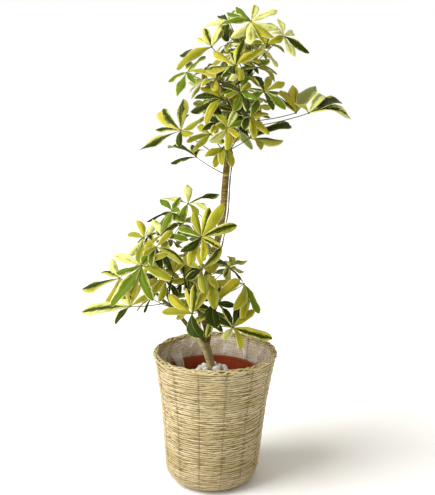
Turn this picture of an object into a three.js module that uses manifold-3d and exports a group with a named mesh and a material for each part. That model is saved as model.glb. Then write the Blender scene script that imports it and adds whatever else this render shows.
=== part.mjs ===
// A variegated umbrella plant in a woven straw basket.
// Millimetres, +Z up. The origin is the middle of the basket's flat base, and the plant's
// leafy side looks along -Y.

import * as THREE from 'three';
import { mergeVertices } from 'three/addons/utils/BufferGeometryUtils.js';
import Module from 'manifold-3d';

const wasm = await Module();
wasm.setup();

// ---- driving dimensions ----

const gap = 0.3;              // between pieces that rest on each other

const basketHeight = 335;
const basketLean = 10;        // how far the rim has sagged towards +X
const basketWall = 6;
const basketCorner = 41;      // round between the base and the wall
const basketBaseRadius = 119; // just above that round
const basketRimRadius = 147;  // to the middle of the rolled rim
const rimRoll = 6.5;          // radius of the rolled rim
const basketSides = 30;

const filmTop = 323;          // clear film lining, mean height of its wavy edge
const filmThickness = 0.9;
const filmInset = 5;          // from the basket's inner wall
const filmWave = 1.8;
const filmEdgeWave = 4;

const potRimRadius = 118;
const potBaseRadius = 80;
const potWall = 2.6;
const potLipHeight = 18;
const potLipReach = 3.2;
const potTop = 280;
const potSides = 28;

const soilTop = 232;
const pebbleBedTop = 242;
const pebbleMound = 40;       // how much higher the pebbles are heaped round the trunk
const pebbleMoundReach = 48;
const pebbleRadius = 14.5;
const pebbleSink = 4;         // of the bed's surface below the stones' middles
const pebbleRings = [24, 53, 83, 113, 140];
const trunkFoot = [0, 34];    // where the trunk leaves the pebbles

const blade = {
  thickness: 0.9,
  leastLength: 60,            // a leaflet that looks shorter points to or from the front
  steepest: 1.7,              // depth run of a leaflet for each millimetre seen from the front
  widthShare: 0.27,           // of the length
  widthBase: 4.5,
  arch: 0.07,                 // rise of the midrib between its ends, of the length
  widest: 0.6,                // along the midrib
  shoulder: 0.9,
  shoulderShare: 0.7,         // of the greatest width
  root: 1,                    // from the hub to the narrow end
  freeFrom: 0.25,             // past this share of the length, leaflets keep clear of each other
};
const hubRadius = 3.4;
const petioleRadius = 1.7;
const petioleSides = 3;
const keepClear = 0.55;       // all round a leaflet or petiole that passes another leaf

// ---- stems: [x, y, z, radius] from the root up ----

const stems = {
  stump: [[2, 34, 150, 8], [0, 35, 210, 10], [-3, 35, 262, 10], [-10, 30, 318, 10.5], [-17, 27, 344, 12.5],
    [-24, 24, 364, 14], [-25, 23, 370, 12.5]],
  tall: [[-14, 28, 322, 8], [-10, 32, 365, 8.6], [-18, 33, 400, 8.6], [-28, 31, 440, 8.6], [-22, 26, 485, 8.5],
    [-8, 18, 525, 8.4], [4, 11, 565, 8.3], [14, 6, 604, 8.2], [25, 1, 655, 8.2], [31, 0, 707, 8.1],
    [35, 0, 765, 7.9], [39, 0, 805, 7.7], [45, 0, 845, 7.3], [54, 0, 893, 6.8], [66, 3, 945, 6],
    [77, 5, 990, 5.2], [87, 5, 1040, 4.2], [90, 2, 1060, 3]],
  fork: [[54, 0, 893, 4.6], [44, -13, 930, 4.2], [32, -24, 963, 3.7], [25, -30, 990, 2.8]],
  left: [[-28, 25, 350, 6], [-42, 17, 371, 5.4], [-56, 2, 392, 5], [-73, -15, 421, 4.7],
    [-94, -35, 451, 4.3], [-116, -50, 476, 3.8], [-138, -60, 504, 3]],
  leftUpper: [[-84, -26, 437, 4], [-104, -22, 474, 3.8], [-115, -20, 524, 3.5], [-118, -25, 579, 3.1],
    [-114, -30, 630, 2.5]],
  right: [[-17, 21, 344, 4.6], [-9, 7, 374, 4.3], [-1, -8, 408, 4], [8, -20, 440, 3.7], [20, -30, 468, 3.4],
    [40, -40, 496, 2.8]],
  front: [[-21, 21, 346, 4.6], [-27, 3, 376, 4.4], [-30, -7, 400, 4.2], [-28, -24, 435, 4], [-26, -38, 480, 3.6],
    [-24, -50, 530, 3.2], [-21, -60, 574, 2.6]],
};
const stemSides = 6;

// Thin root that hangs beside the tall stem and joins it again lower down.
const aerialRoot = [[42, 1, 832], [51, -3, 818], [49, -6, 790], [45, -9, 754], [43, -11, 716], [41, -12, 682],
  [36, -12, 652], [29, -12, 611], [20, -9, 575], [10, -2, 548], [-7, 15, 522]];
const aerialRootRadius = 1.5;

// ---- leaves ----
// Each leaf leaves a stem at a height, has a hub where its leaflets meet, and a direction that it
// faces. A leaflet is [direction, reach], both as seen from the front: degrees from +X towards +Z,
// and millimetres from the hub to the tip.

const fan = (start, count, reach) =>
  Array.from({ length: count }, (_, i) => [start + (i * 360) / count, reach - 8 * (i % 2)]);

const upperLeaves = [
  { on: 'tall', from: 1052, hub: [90, -40, 1112], face: [0, -0.75, 0.66], leaflets: [[130, 50], [155, 58],
    [180, 65], [-142, 56], [-92, 56], [-68, 60], [-44, 66], [-16, 62], [22, 64], [72, 42]] },
  { on: 'tall', from: 1000, hub: [160, -60, 1080], face: [0.35, -0.7, 0.62], leaflets: [[105, 42], [138, 48],
    [16, 30], [-30, 70], [-58, 50], [-150, 38]] },
  { on: 'tall', from: 984, hub: [2, -30, 1058], face: [-0.25, -0.72, 0.64], leaflets: [[110, 46], [145, 40],
    [74, 54], [30, 34], [-170, 76], [-152, 92]] },
  { on: 'tall', from: 1030, hub: [42, 60, 1124], face: [-0.3, -0.5, 0.8], leaflets: [[-172, 68], [-140, 46],
    [-100, 45], [135, 30], [60, 34]] },
  { on: 'fork', from: 972, hub: [-54, -50, 1000], face: [-0.3, -0.65, 0.7], leaflets: [[-158, 46], [-108, 56],
    [40, 56], [85, 36], [-2, 42], [-50, 32]] },
  { on: 'tall', from: 958, hub: [54, -110, 1012], face: [0, -0.8, 0.6], leaflets: [[142, 60], [-176, 66],
    [74, 64], [36, 70], [-138, 38], [-70, 30]] },
  { on: 'fork', from: 954, hub: [12, -70, 986], face: [-0.2, -0.6, 0.77], leaflets: [[-178, 64], [150, 46],
    [105, 34], [55, 38], [-148, 34], [-95, 26]] },
  { on: 'fork', from: 925, hub: [22, -90, 944], face: [-0.2, -0.7, 0.68], leaflets: [[152, 50], [180, 58],
    [-158, 72], [-124, 60], [115, 32], [50, 32]] },
  { on: 'tall', from: 797, hub: [-68, -40, 872], face: [-0.45, -0.6, 0.65], leaflets: [[136, 74], [90, 74],
    [-154, 106], [180, 62], [-95, 32], [-12, 30], [30, 54]] },
  { on: 'tall', from: 768, hub: [-36, 30, 808], face: [-0.3, -0.25, 0.92], leaflets: [[155, 62], [170, 78],
    [-168, 66], [112, 26], [40, 24]] },
  { on: 'tall', from: 818, hub: [36, -150, 880], face: [0.1, -0.85, 0.5], leaflets: [[60, 40], [-146, 42],
    [20, 56], [-90, 40], [130, 38]] },
  { on: 'tall', from: 846, hub: [26, -70, 886], face: [-0.1, -0.7, 0.7], leaflets: [[114, 50], [74, 50],
    [162, 46], [-165, 46], [-135, 34]] },
  { on: 'tall', from: 784, hub: [30, -60, 836], face: [-0.2, -0.75, 0.6], leaflets: [[-154, 48], [-96, 38],
    [-122, 44], [-66, 42]] },
  { on: 'tall', from: 808, hub: [0, -50, 864], face: [-0.3, -0.6, 0.72], leaflets: [[-168, 58], [-138, 56],
    [140, 36], [-32, 30]] },
  { on: 'tall', from: 912, hub: [118, -80, 958], face: [0.1, -0.75, 0.65], leaflets: [[68, 40], [30, 56],
    [112, 40], [-40, 60], [-66, 44], [-154, 58], [168, 40]] },
  { on: 'tall', from: 892, hub: [194, -40, 912], face: [0.1, -0.55, 0.83], leaflets: [[142, 80], [118, 62],
    [92, 60], [68, 56], [46, 82]] },
  { on: 'tall', from: 880, hub: [212, -130, 912], face: [0.3, -0.45, 0.83], leaflets: [[-4, 104], [16, 88],
    [40, 48], [145, 32]] },
  { on: 'tall', from: 826, hub: [88, -60, 856], face: [0.35, -0.5, 0.8], leaflets: [[12, 108], [-6, 80],
    [122, 38], [68, 42], [-40, 32]] },
  { on: 'tall', from: 866, hub: [86, -120, 902], face: [0.2, -0.75, 0.63], leaflets: [[-38, 52], [-82, 36],
    [15, 46], [64, 44], [-158, 34]] },
  { on: 'tall', from: 972, hub: [94, 60, 1030], face: [0.3, -0.4, 0.86], leaflets: [[-18, 70], [12, 50],
    [45, 42], [156, 34], [-110, 32]] },
  { on: 'tall', from: 940, hub: [82, 30, 988], face: [0.2, -0.5, 0.84], leaflets: [[12, 44], [60, 34],
    [-20, 48], [-164, 42], [140, 32]] },
  { on: 'tall', from: 902, hub: [64, -130, 956], face: [0, -0.8, 0.6], leaflets: [[155, 44], [-110, 38],
    [50, 30], [-20, 36], [-68, 38], [-160, 34]] },
  { on: 'tall', from: 857, hub: [52, -44, 914], face: [0, -0.75, 0.66], leaflets: [[120, 36], [60, 32],
    [0, 36], [-55, 36], [-115, 32], [180, 36]] },
];

const lowerLeaves = [
  { on: 'tall', from: 636, hub: [-56, 20, 696], face: [0, -0.45, 0.89], leaflets: [[94, 38], [170, 68],
    [20, 78], [-10, 46], [-112, 44], [-50, 34]] },
  { on: 'leftUpper', from: 618, hub: [-92, -20, 684], face: [-0.3, -0.65, 0.7], leaflets: [[-156, 66],
    [-122, 62], [146, 36], [-32, 38], [62, 34]] },
  { on: 'front', from: 562, hub: [-20, -150, 644], face: [0.1, -0.85, 0.5], leaflets: [[108, 56], [74, 62],
    [54, 82], [16, 82], [-22, 46], [-84, 42], [-116, 60], [-150, 50], [162, 56]] },
  { on: 'leftUpper', from: 592, hub: [-114, -80, 636], face: [-0.1, -0.7, 0.7], leaflets: [[-8, 64], [66, 54],
    [126, 42], [28, 40], [-142, 42], [-60, 40]] },
  { on: 'leftUpper', from: 572, hub: [-156, -60, 626], face: [-0.3, -0.72, 0.62], leaflets: [[176, 44],
    [120, 40], [-98, 58], [-136, 46], [56, 34]] },
  { on: 'leftUpper', from: 548, hub: [-122, -120, 616], face: [-0.1, -0.75, 0.65], leaflets: [[-134, 42],
    [-70, 42], [150, 30], [30, 38], [-24, 66]] },
  { on: 'leftUpper', from: 524, hub: [-152, -150, 580], face: [-0.25, -0.8, 0.55], leaflets: [[166, 68],
    [-130, 108], [-70, 68], [24, 62], [-18, 70], [-100, 64], [-165, 62]] },
  { on: 'left', from: 498, hub: [-216, -50, 528], face: [-0.4, -0.6, 0.7], leaflets: [[-164, 104], [170, 54],
    [128, 48], [-120, 62], [36, 42], [-70, 40]] },
  { on: 'left', from: 466, hub: [-184, -120, 478], face: [-0.2, -0.6, 0.77], leaflets: [[-172, 116],
    [-135, 40], [105, 50], [66, 42], [148, 40], [30, 56]] },
  { on: 'leftUpper', from: 490, hub: [-84, -120, 556], face: [0, -0.75, 0.66], leaflets: [[166, 62],
    [-140, 60], [-100, 46], [120, 44], [42, 48]] },
  { on: 'front', from: 498, hub: [-62, -80, 540], face: [0.1, -0.7, 0.7], leaflets: [[12, 46], [62, 50],
    [116, 42], [-28, 58], [-74, 50]] },
  { on: 'front', from: 436, hub: [-40, -200, 484], face: [0, -0.85, 0.52], leaflets: [[176, 66], [142, 66],
    [112, 54], [84, 56], [54, 62], [-64, 48]] },
  { on: 'right', from: 440, hub: [6, -110, 484], face: [0.2, -0.7, 0.68], leaflets: [[-80, 46], [-12, 54],
    [-142, 36], [34, 74], [75, 36], [112, 48]] },
  { on: 'right', from: 487, hub: [78, -50, 514], face: [0.45, -0.6, 0.66], leaflets: [[166, 72], [132, 52],
    [-62, 70], [-92, 62], [-120, 54]] },
  { on: 'right', from: 402, hub: [50, -120, 428], face: [0.15, -0.75, 0.65], leaflets: [[120, 42], [160, 38],
    [72, 50], [30, 60], [-16, 94], [-62, 38], [-150, 26]] },
  { on: 'front', from: 476, hub: [-4, -60, 542], face: [0.2, -0.6, 0.77], leaflets: [[140, 28], [40, 30],
    [-50, 30], [-88, 64], [-130, 42]] },
  { on: 'front', from: 534, hub: [-20, -150, 572], face: [0.1, -0.8, 0.6], leaflets: [[45, 62], [95, 44],
    [152, 44], [-156, 36], [-78, 42]] },
];

const backLeaves = [
  { on: 'tall', from: 1014, hub: [72, 110, 1068], face: [0, 0.6, 0.8], leaflets: fan(10, 6, 56) },
  { on: 'tall', from: 928, hub: [30, 120, 985], face: [-0.2, 0.6, 0.78], leaflets: fan(25, 6, 54) },
  { on: 'tall', from: 896, hub: [96, 130, 930], face: [0.2, 0.65, 0.73], leaflets: fan(0, 6, 58) },
  { on: 'tall', from: 862, hub: [8, 112, 912], face: [-0.2, 0.6, 0.78], leaflets: fan(35, 6, 56) },
  { on: 'tall', from: 822, hub: [74, 100, 868], face: [0.1, 0.6, 0.79], leaflets: fan(15, 5, 54) },
  { on: 'leftUpper', from: 600, hub: [-78, 80, 636], face: [-0.1, 0.6, 0.79], leaflets: fan(20, 6, 56) },
  { on: 'tall', from: 560, hub: [-26, 120, 592], face: [0, 0.65, 0.76], leaflets: fan(50, 6, 58) },
  { on: 'leftUpper', from: 506, hub: [-120, 66, 552], face: [-0.2, 0.6, 0.77], leaflets: fan(5, 5, 58) },
  { on: 'tall', from: 486, hub: [44, 110, 518], face: [0.2, 0.6, 0.77], leaflets: fan(30, 6, 54) },
  { on: 'tall', from: 446, hub: [-46, 108, 492], face: [-0.1, 0.6, 0.79], leaflets: fan(0, 6, 54) },
];

const leafColours = ['#8fa03c', '#6f8a35', '#b5b55a', '#4e6b2c'];

// ---- helpers ----

const vec = (x, y, z) => new THREE.Vector3(x, y, z);
const radians = (degrees) => (degrees * Math.PI) / 180;
const clamp = (value, low, high) => Math.min(Math.max(value, low), high);

// A repeatable number from 0 to 1 for each whole number.
function chance(n) {
  const s = Math.sin(n * 12.9898) * 43758.5453;
  return s - Math.floor(s);
}

function signedVolume(points, faces) {
  const [a, b, c] = [vec(), vec(), vec()];
  let sum = 0;
  for (let i = 0; i < faces.length; i += 3) {
    a.fromArray(points, faces[i] * 3);
    b.fromArray(points, faces[i + 1] * 3);
    c.fromArray(points, faces[i + 2] * 3);
    sum += a.dot(b.cross(c));
  }
  return sum;
}

// A closed geometry becomes a solid with its faces outwards.
function solidOf(geometry) {
  const bare = geometry.index ? geometry.clone() : geometry;
  bare.deleteAttribute('normal');
  bare.deleteAttribute('uv');
  const merged = mergeVertices(bare, 1e-3);
  const points = new Float32Array(merged.attributes.position.array);
  const index = merged.index.array;
  const faces = [];
  for (let i = 0; i < index.length; i += 3) {
    const [a, b, c] = [index[i], index[i + 1], index[i + 2]];
    if (a !== b && b !== c && a !== c) faces.push(a, b, c);
  }
  if (signedVolume(points, faces) < 0) faces.reverse();
  return new wasm.Manifold(new wasm.Mesh({
    numProp: 3, vertProperties: points, triVerts: new Uint32Array(faces) }));
}

function meshOf(name, solid, colour, roughness) {
  const { vertProperties, triVerts } = solid.getMesh();
  const geometry = new THREE.BufferGeometry();
  geometry.setAttribute('position', new THREE.BufferAttribute(new Float32Array(vertProperties), 3));
  geometry.setIndex(Array.from(triVerts));
  geometry.computeVertexNormals();
  const material = new THREE.MeshStandardMaterial({ color: colour, roughness, metalness: 0 });
  const mesh = new THREE.Mesh(geometry, material);
  mesh.name = name;
  return mesh;
}

const largest = (solid) => solid.decompose().sort((a, b) => b.volume() - a.volume())[0];

function closedMesh(points, faces) {
  const geometry = new THREE.BufferGeometry();
  geometry.setAttribute('position', new THREE.Float32BufferAttribute(points.flatMap((p) => p.toArray()), 3));
  geometry.setIndex(faces);
  return solidOf(geometry);
}

// A round-bodied stem through [point, radius] stations, with its ends closed.
function taperedTube(stations, sides, grow = 0) {
  const points = [];
  const faces = [];
  const side = vec(1, 0, 0);
  stations.forEach(({ at }, i) => {
    const before = stations[Math.max(i - 1, 0)].at;
    const after = stations[Math.min(i + 1, stations.length - 1)].at;
    const along = after.clone().sub(before).normalize();
    side.addScaledVector(along, -side.dot(along)).normalize();
    const across = along.clone().cross(side);
    for (let k = 0; k < sides; k += 1) {
      const angle = (2 * Math.PI * k) / sides;
      const r = stations[i].radius + grow;
      points.push(at.clone().addScaledVector(side, r * Math.cos(angle))
        .addScaledVector(across, r * Math.sin(angle)));
    }
  });
  const last = (stations.length - 1) * sides;
  for (let i = 0; i < last; i += sides) {
    for (let k = 0; k < sides; k += 1) {
      const n = (k + 1) % sides;
      faces.push(i + k, i + n, i + sides + n, i + k, i + sides + n, i + sides + k);
    }
  }
  for (let k = 1; k < sides - 1; k += 1) {
    faces.push(0, k + 1, k, last, last + k, last + k + 1);
  }
  return closedMesh(points, faces);
}

const stemTube = (stem, grow = 0) =>
  taperedTube(stem.map(([x, y, z, radius]) => ({ at: vec(x, y, z), radius })), stemSides, grow);

// A solid of revolution about Z from [radius, height] points.
function turned(profile, sides, reshape = (p) => p) {
  const geometry = new THREE.LatheGeometry(profile.map(([r, z]) => new THREE.Vector2(r, z)), sides);
  geometry.rotateX(Math.PI / 2);
  const position = geometry.attributes.position;
  const p = vec();
  for (let i = 0; i < position.count; i += 1) {
    p.fromBufferAttribute(position, i);
    reshape(p);
    position.setXYZ(i, p.x, p.y, p.z);
  }
  return solidOf(geometry);
}

const quarter = (cx, cz, r, from, to, steps) => Array.from({ length: steps + 1 }, (_, i) => {
  const angle = radians(from + ((to - from) * i) / steps);
  return [cx + r * Math.cos(angle), cz + r * Math.sin(angle)];
});

// ---- basket, film and pot ----

const leanWith = (p) => {
  p.x += (basketLean * p.z) / basketHeight;
};

// Outer radius of the basket's wall above the round at its base: a steady flare that opens
// faster near the rim.
function basketRadius(z) {
  const t = clamp((z - basketCorner) / (basketHeight - basketCorner), 0, 1);
  return basketBaseRadius + (basketRimRadius + 2 - basketBaseRadius) * (0.8 * t + 0.2 * t ** 3);
}

const wallHeights = [110, 190, 260];

function makeBasket() {
  const rimCentre = basketHeight - rimRoll;
  const inner = (z) => basketRadius(z) - basketWall;
  const profile = [
    [0, 0],
    ...quarter(basketBaseRadius - basketCorner, basketCorner, basketCorner, -90, 0, 3),
    ...wallHeights.map((z) => [basketRadius(z), z]),
    ...quarter(basketRimRadius, rimCentre, rimRoll, -40, 220, 5),
    ...wallHeights.slice().reverse().map((z) => [inner(z), z]),
    ...quarter(basketBaseRadius - basketCorner, basketCorner, basketCorner - basketWall, 0, -90, 2),
    [0, basketWall],
  ];
  return turned(profile, basketSides, leanWith);
}

function makeFilm() {
  const floor = basketWall + gap;
  const outer = (z) => basketRadius(z) - basketWall - filmInset;
  const corner = basketCorner - basketWall - filmInset;
  const centre = basketBaseRadius - basketCorner;
  const rise = basketCorner - (corner + floor);
  const wall = [150, 250, filmTop];
  const profile = [
    [0, floor],
    ...quarter(centre, corner + floor, corner, -90, 0, 2),
    ...wall.map((z) => [outer(z), z]),
    ...wall.slice().reverse().map((z) => [outer(z) - filmThickness, z]),
    ...quarter(centre, corner + floor, corner - filmThickness, 0, -90, 2),
    [0, floor + filmThickness],
  ];
  return turned(profile, basketSides, (p) => {
    const angle = Math.atan2(p.y, p.x);
    const share = clamp((p.z - basketCorner - rise) / (filmTop - basketCorner), 0, 1);
    const wave = filmWave * share * (Math.sin(5 * angle + 1) + 0.6 * Math.sin(9 * angle + p.z / 40));
    const radius = Math.hypot(p.x, p.y);
    if (radius > 0) {
      p.x *= (radius + wave) / radius;
      p.y *= (radius + wave) / radius;
    }
    if (share > 0.8) p.z += filmEdgeWave * (Math.sin(3 * angle + 2) + 0.5 * Math.sin(7 * angle));
    leanWith(p);
  });
}

const potFloor = basketWall + filmThickness + 2 * gap;
const potWallTop = potRimRadius - potLipReach;
const potRadius = (z) => potBaseRadius + ((potWallTop - potBaseRadius) * (z - potFloor)) / (potTop - potFloor);

function makePot() {
  const lip = potTop - potLipHeight;
  const foot = potFloor + 4;
  const seat = potFloor + potWall;
  return turned([
    [0, potFloor], [potBaseRadius - 4, potFloor], [potRadius(foot), foot],
    [potRadius(lip), lip], [potRimRadius - 0.5, lip], [potRimRadius, potTop - 1.5], [potRimRadius - 1.2, potTop],
    [potWallTop - potWall + 0.8, potTop], [potWallTop - potWall, potTop - 2],
    [potRadius(seat) - potWall - 2, seat], [0, seat],
  ], potSides);
}

const soilFloor = potFloor + potWall + gap;
const soilRadius = (z) => potRadius(z) - potWall - 2.4;

function makeSoil(trunkSpace) {
  const soil = turned([[0, soilFloor], [soilRadius(soilFloor), soilFloor], [soilRadius(soilTop), soilTop],
    [0, soilTop]], potSides);
  return soil.subtract(trunkSpace);
}

function pebbleHeight(x, y) {
  const away = Math.hypot(x - trunkFoot[0], y - trunkFoot[1]) / pebbleMoundReach;
  return pebbleBedTop + pebbleMound * Math.exp(-(away ** 2));
}

// A bed over the whole soil, heaped round the trunk, with rings of stones sunk into it.
function makePebbles(trunkSpace) {
  const rest = soilTop + gap;
  const reach = soilRadius(soilTop) - 1;
  const bed = turned([[0, rest], [reach, rest], [reach, pebbleBedTop], [70, pebbleBedTop], [36, pebbleBedTop],
    [0, pebbleBedTop]], 20, (p) => {
    if (p.z > rest + 1) p.z = pebbleHeight(p.x, p.y) - pebbleSink;
  });
  const stones = [bed];
  pebbleRings.forEach((ring, row) => {
    const count = Math.round((2 * Math.PI * ring) / (2.5 * pebbleRadius));
    for (let i = 0; i < count; i += 1) {
      const seed = 100 * (row + 1) + i;
      const angle = (2 * Math.PI * (i + 0.5 * (row % 2) + 0.3 * chance(seed))) / count;
      const x = trunkFoot[0] + ring * Math.cos(angle);
      const y = trunkFoot[1] + ring * Math.sin(angle);
      if (Math.hypot(x, y) < reach - pebbleRadius) {
        const stone = new THREE.IcosahedronGeometry(pebbleRadius * (0.9 + 0.15 * chance(seed + 1)), 0);
        stone.scale(1, 0.85, 0.66);
        stone.rotateZ(2 * Math.PI * chance(seed + 2));
        stone.translate(x, y, pebbleHeight(x, y));
        stones.push(solidOf(stone));
      }
    }
  });
  return wasm.Manifold.union(stones).subtract(trunkSpace);
}

// ---- wood and shoots ----

function makeTrunk(grow = 0) {
  const root = aerialRoot.map(([x, y, z]) => ({ at: vec(x, y, z), radius: aerialRootRadius }));
  const wood = [stemTube(stems.stump, grow), stemTube(stems.tall, grow), stemTube(stems.fork, grow)];
  return wasm.Manifold.union([...wood, taperedTube(root, 6, grow)]);
}

// ---- leaves ----

const placed = [];

const apart = (a, b) => [0, 1, 2].some((i) => a.min[i] > b.max[i] || b.min[i] > a.max[i]);

// Clear of every other leaf and stem, and its outer part clear of its own leaf's leaflets.
function isClear(solid, owner, outer) {
  const box = solid.boundingBox();
  return placed.every((other) => {
    if (apart(box, other.box)) return true;
    if (other.owner !== owner) return other.solid.intersect(solid).isEmpty();
    return !outer || !other.outer || other.outer.intersect(outer).isEmpty();
  });
}

function keep(solid, owner, outer) {
  placed.push({ solid, owner, outer, box: solid.boundingBox() });
}

// The point at a given height on a stem's axis.
function stemPoint(stem, z) {
  const i = clamp(stem.findIndex((p) => p[2] >= z), 1, stem.length - 1);
  const [low, high] = [stem[i - 1], stem[i]];
  return vec(...low).lerp(vec(...high), (z - low[2]) / (high[2] - low[2]));
}

// Steps that a petiole or leaflet may be bent by, smallest first.
const steps = (across, along) => across.flatMap((a) => along.map((b) => [a, b]))
  .sort((p, q) => Math.abs(p[0]) + Math.abs(p[1]) - Math.abs(q[0]) - Math.abs(q[1]));
const petioleBends = steps([0, 1, -1, 2, -2, 3, -3], [0, 1, -1, 2, -2, 3, -3]);
const leafletBends = steps([0, 1, -1, 2, -2, 3, -3, 4, -4, 5, -5, 6, -6], [0, 1, -1, 2, -2]);
const petioleBendShare = 0.11;  // of the petiole's span
const leafletLiftShare = 0.11;  // of the leaflet's length, out of the leaf's plane
const leafletTurnShare = 0.1;   // of the leaflet's length, within the leaf's plane

function petiolePath(leaf, [sideways, upright]) {
  const root = stemPoint(stems[leaf.on], leaf.from);
  const hub = vec(...leaf.hub);
  const span = hub.clone().sub(root);
  const side = span.clone().cross(vec(0, 0, 1)).normalize();
  const middle = root.clone().lerp(hub, 0.55).addScaledVector(vec(...leaf.face), -0.16 * span.length());
  middle.addScaledVector(side, sideways * petioleBendShare * span.length());
  middle.z += (0.05 + upright * petioleBendShare) * span.length();
  return new THREE.QuadraticBezierCurve3(root, middle, hub);
}

function petioleTube(path, grow, start = 0) {
  const at = [0, 0.36, 0.7, 1].map((t) => ({
    at: path.getPoint(start + (1 - start) * t), radius: petioleRadius * (1.15 - 0.25 * t) }));
  return taperedTube(at, petioleSides, grow);
}

// Where a leaflet lies: its hub, the run to its tip, and the directions across and out of it.
function leafletPlace(leaf, [angle, reach], seed, [lift, turn]) {
  const face = vec(...leaf.face).normalize();
  const seen = vec(Math.cos(radians(angle)), 0, Math.sin(radians(angle)));
  let depth = clamp(-face.dot(seen) / face.y, -blade.steepest, blade.steepest);
  const needed = Math.sqrt(Math.max((blade.leastLength / reach) ** 2 - 1, 0));
  if (Math.abs(depth) < needed) depth = needed * Math.sign(depth || face.y);
  const run = seen.clone().setY(depth).multiplyScalar(reach);
  const length = run.length();
  run.normalize();
  const across = run.clone().cross(face).normalize();
  const out = across.clone().cross(run);
  const tilt = 0.5 * (chance(seed) - 0.5);
  run.addScaledVector(out, lift * leafletLiftShare).addScaledVector(across, turn * leafletTurnShare).normalize();
  across.addScaledVector(out, tilt).addScaledVector(run, -across.dot(run)).normalize();
  return { hub: vec(...leaf.hub), run, across, out: across.clone().cross(run), length };
}

function leafletSolid({ hub, run, across, out, length }, grow = 0, start = blade.root / length) {
  const half = (blade.widthShare * length + blade.widthBase) / 2;
  const spot = (t, share, up) => {
    const rise = blade.arch * length * 4 * t * (1 - t);
    return hub.clone().addScaledVector(run, t * length)
      .addScaledVector(across, share * (half + grow)).addScaledVector(out, rise + up);
  };
  const layer = (up) => [
    spot(start, 0, up),
    spot(blade.widest, -1, up), spot(blade.widest, 1, up),
    spot(blade.shoulder, -blade.shoulderShare, up), spot(blade.shoulder, blade.shoulderShare, up),
    spot(1 + grow / length, 0, up)];
  const flat = [[0, 1, 2], [1, 3, 2], [2, 3, 4], [3, 5, 4]];
  const edge = [0, 2, 4, 5, 3, 1];
  const n = edge.length;
  const up = blade.thickness / 2 + grow;
  const faces = flat.flatMap(([a, b, c]) => [a, b, c, a + n, c + n, b + n]);
  edge.forEach((a, i) => {
    const b = edge[(i + 1) % edge.length];
    faces.push(a, b, b + n, a, b + n, a + n);
  });
  return closedMesh([...layer(-up), ...layer(up)], faces);
}

function makeLeaves(list, wood) {
  list.forEach((leaf) => {
    const bend = petioleBends.find((b) => isClear(petioleTube(petiolePath(leaf, b), keepClear, 0.16), leaf.name))
      ?? petioleBends[0];
    const path = petiolePath(leaf, bend);
    const hub = new THREE.OctahedronGeometry(hubRadius, 0).translate(...leaf.hub);
    leaf.pieces = [petioleTube(path, 0), solidOf(hub)];
    leaf.pieces.forEach((piece) => keep(piece, leaf.name));
  });
  list.forEach((leaf, i) => {
    leaf.leaflets.forEach((leaflet, k) => {
      const seed = 50 * (i + 1) + k;
      const place = leafletBends.map((b) => leafletPlace(leaf, leaflet, seed, b))
        .find((p) => isClear(leafletSolid(p, keepClear), leaf.name, leafletSolid(p, 0, blade.freeFrom)));
      if (!place) return;
      const solid = leafletSolid(place);
      leaf.pieces.push(solid);
      keep(solid, leaf.name, leafletSolid(place, 0, blade.freeFrom));
    });
  });
  return list.map((leaf, i) => {
    const solid = largest(wasm.Manifold.union(leaf.pieces).subtract(wood));
    return meshOf(leaf.name, solid, leafColours[i % leafColours.length], 0.45);
  });
}

// ---- the plant ----

const plant = new THREE.Group();

const trunk = makeTrunk();
const trunkSpace = makeTrunk(gap + 0.05);
const leftShoot = largest(stemTube(stems.left).add(stemTube(stems.leftUpper)).subtract(trunkSpace));
const rightShoot = largest(stemTube(stems.right).subtract(trunkSpace));
const frontShoot = largest(stemTube(stems.front).subtract(trunkSpace));
const shootSpace = ['left', 'leftUpper', 'right', 'front'].map((name) => stemTube(stems[name], gap + 0.05));
const woodSpace = wasm.Manifold.union([trunkSpace, ...shootSpace]);

plant.add(meshOf('basket', makeBasket(), '#cbb882', 0.85));
plant.add(meshOf('liner_film', makeFilm(), '#d9dcdc', 0.25));
plant.add(meshOf('grow_pot', makePot(), '#8c4a35', 0.5));
plant.add(meshOf('soil', makeSoil(trunkSpace), '#3d2b1f', 0.95));
plant.add(meshOf('pebbles', makePebbles(trunkSpace), '#e6e2da', 0.7));
plant.add(meshOf('trunk', trunk, '#7a6247', 0.85));
plant.add(meshOf('left_shoot', leftShoot, '#6d7440', 0.6));
plant.add(meshOf('right_shoot', rightShoot, '#6d7440', 0.6));
plant.add(meshOf('front_shoot', frontShoot, '#6d7440', 0.6));

[trunk, leftShoot, rightShoot, frontShoot].forEach((piece) => keep(piece, 'wood'));

const named = (word, list) => list.map((leaf, i) => ({
  ...leaf, name: `${word}_leaf_${String(i + 1).padStart(2, '0')}` }));
const leaves = [...named('upper', upperLeaves), ...named('lower', lowerLeaves), ...named('back', backLeaves)];
makeLeaves(leaves, woodSpace).forEach((leaf) => plant.add(leaf));

export default plant;
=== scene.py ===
# A variegated umbrella plant in a woven straw basket, dressed around its CAD frame.
# The scene is in metres with +Z up, and the plant's leafy side looks along -Y. Sizes in the settings
# of the pieces are in millimetres.
import bmesh
import bpy
import math
import random
from mathutils import Matrix, Vector
from mathutils.bvhtree import BVHTree


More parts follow.
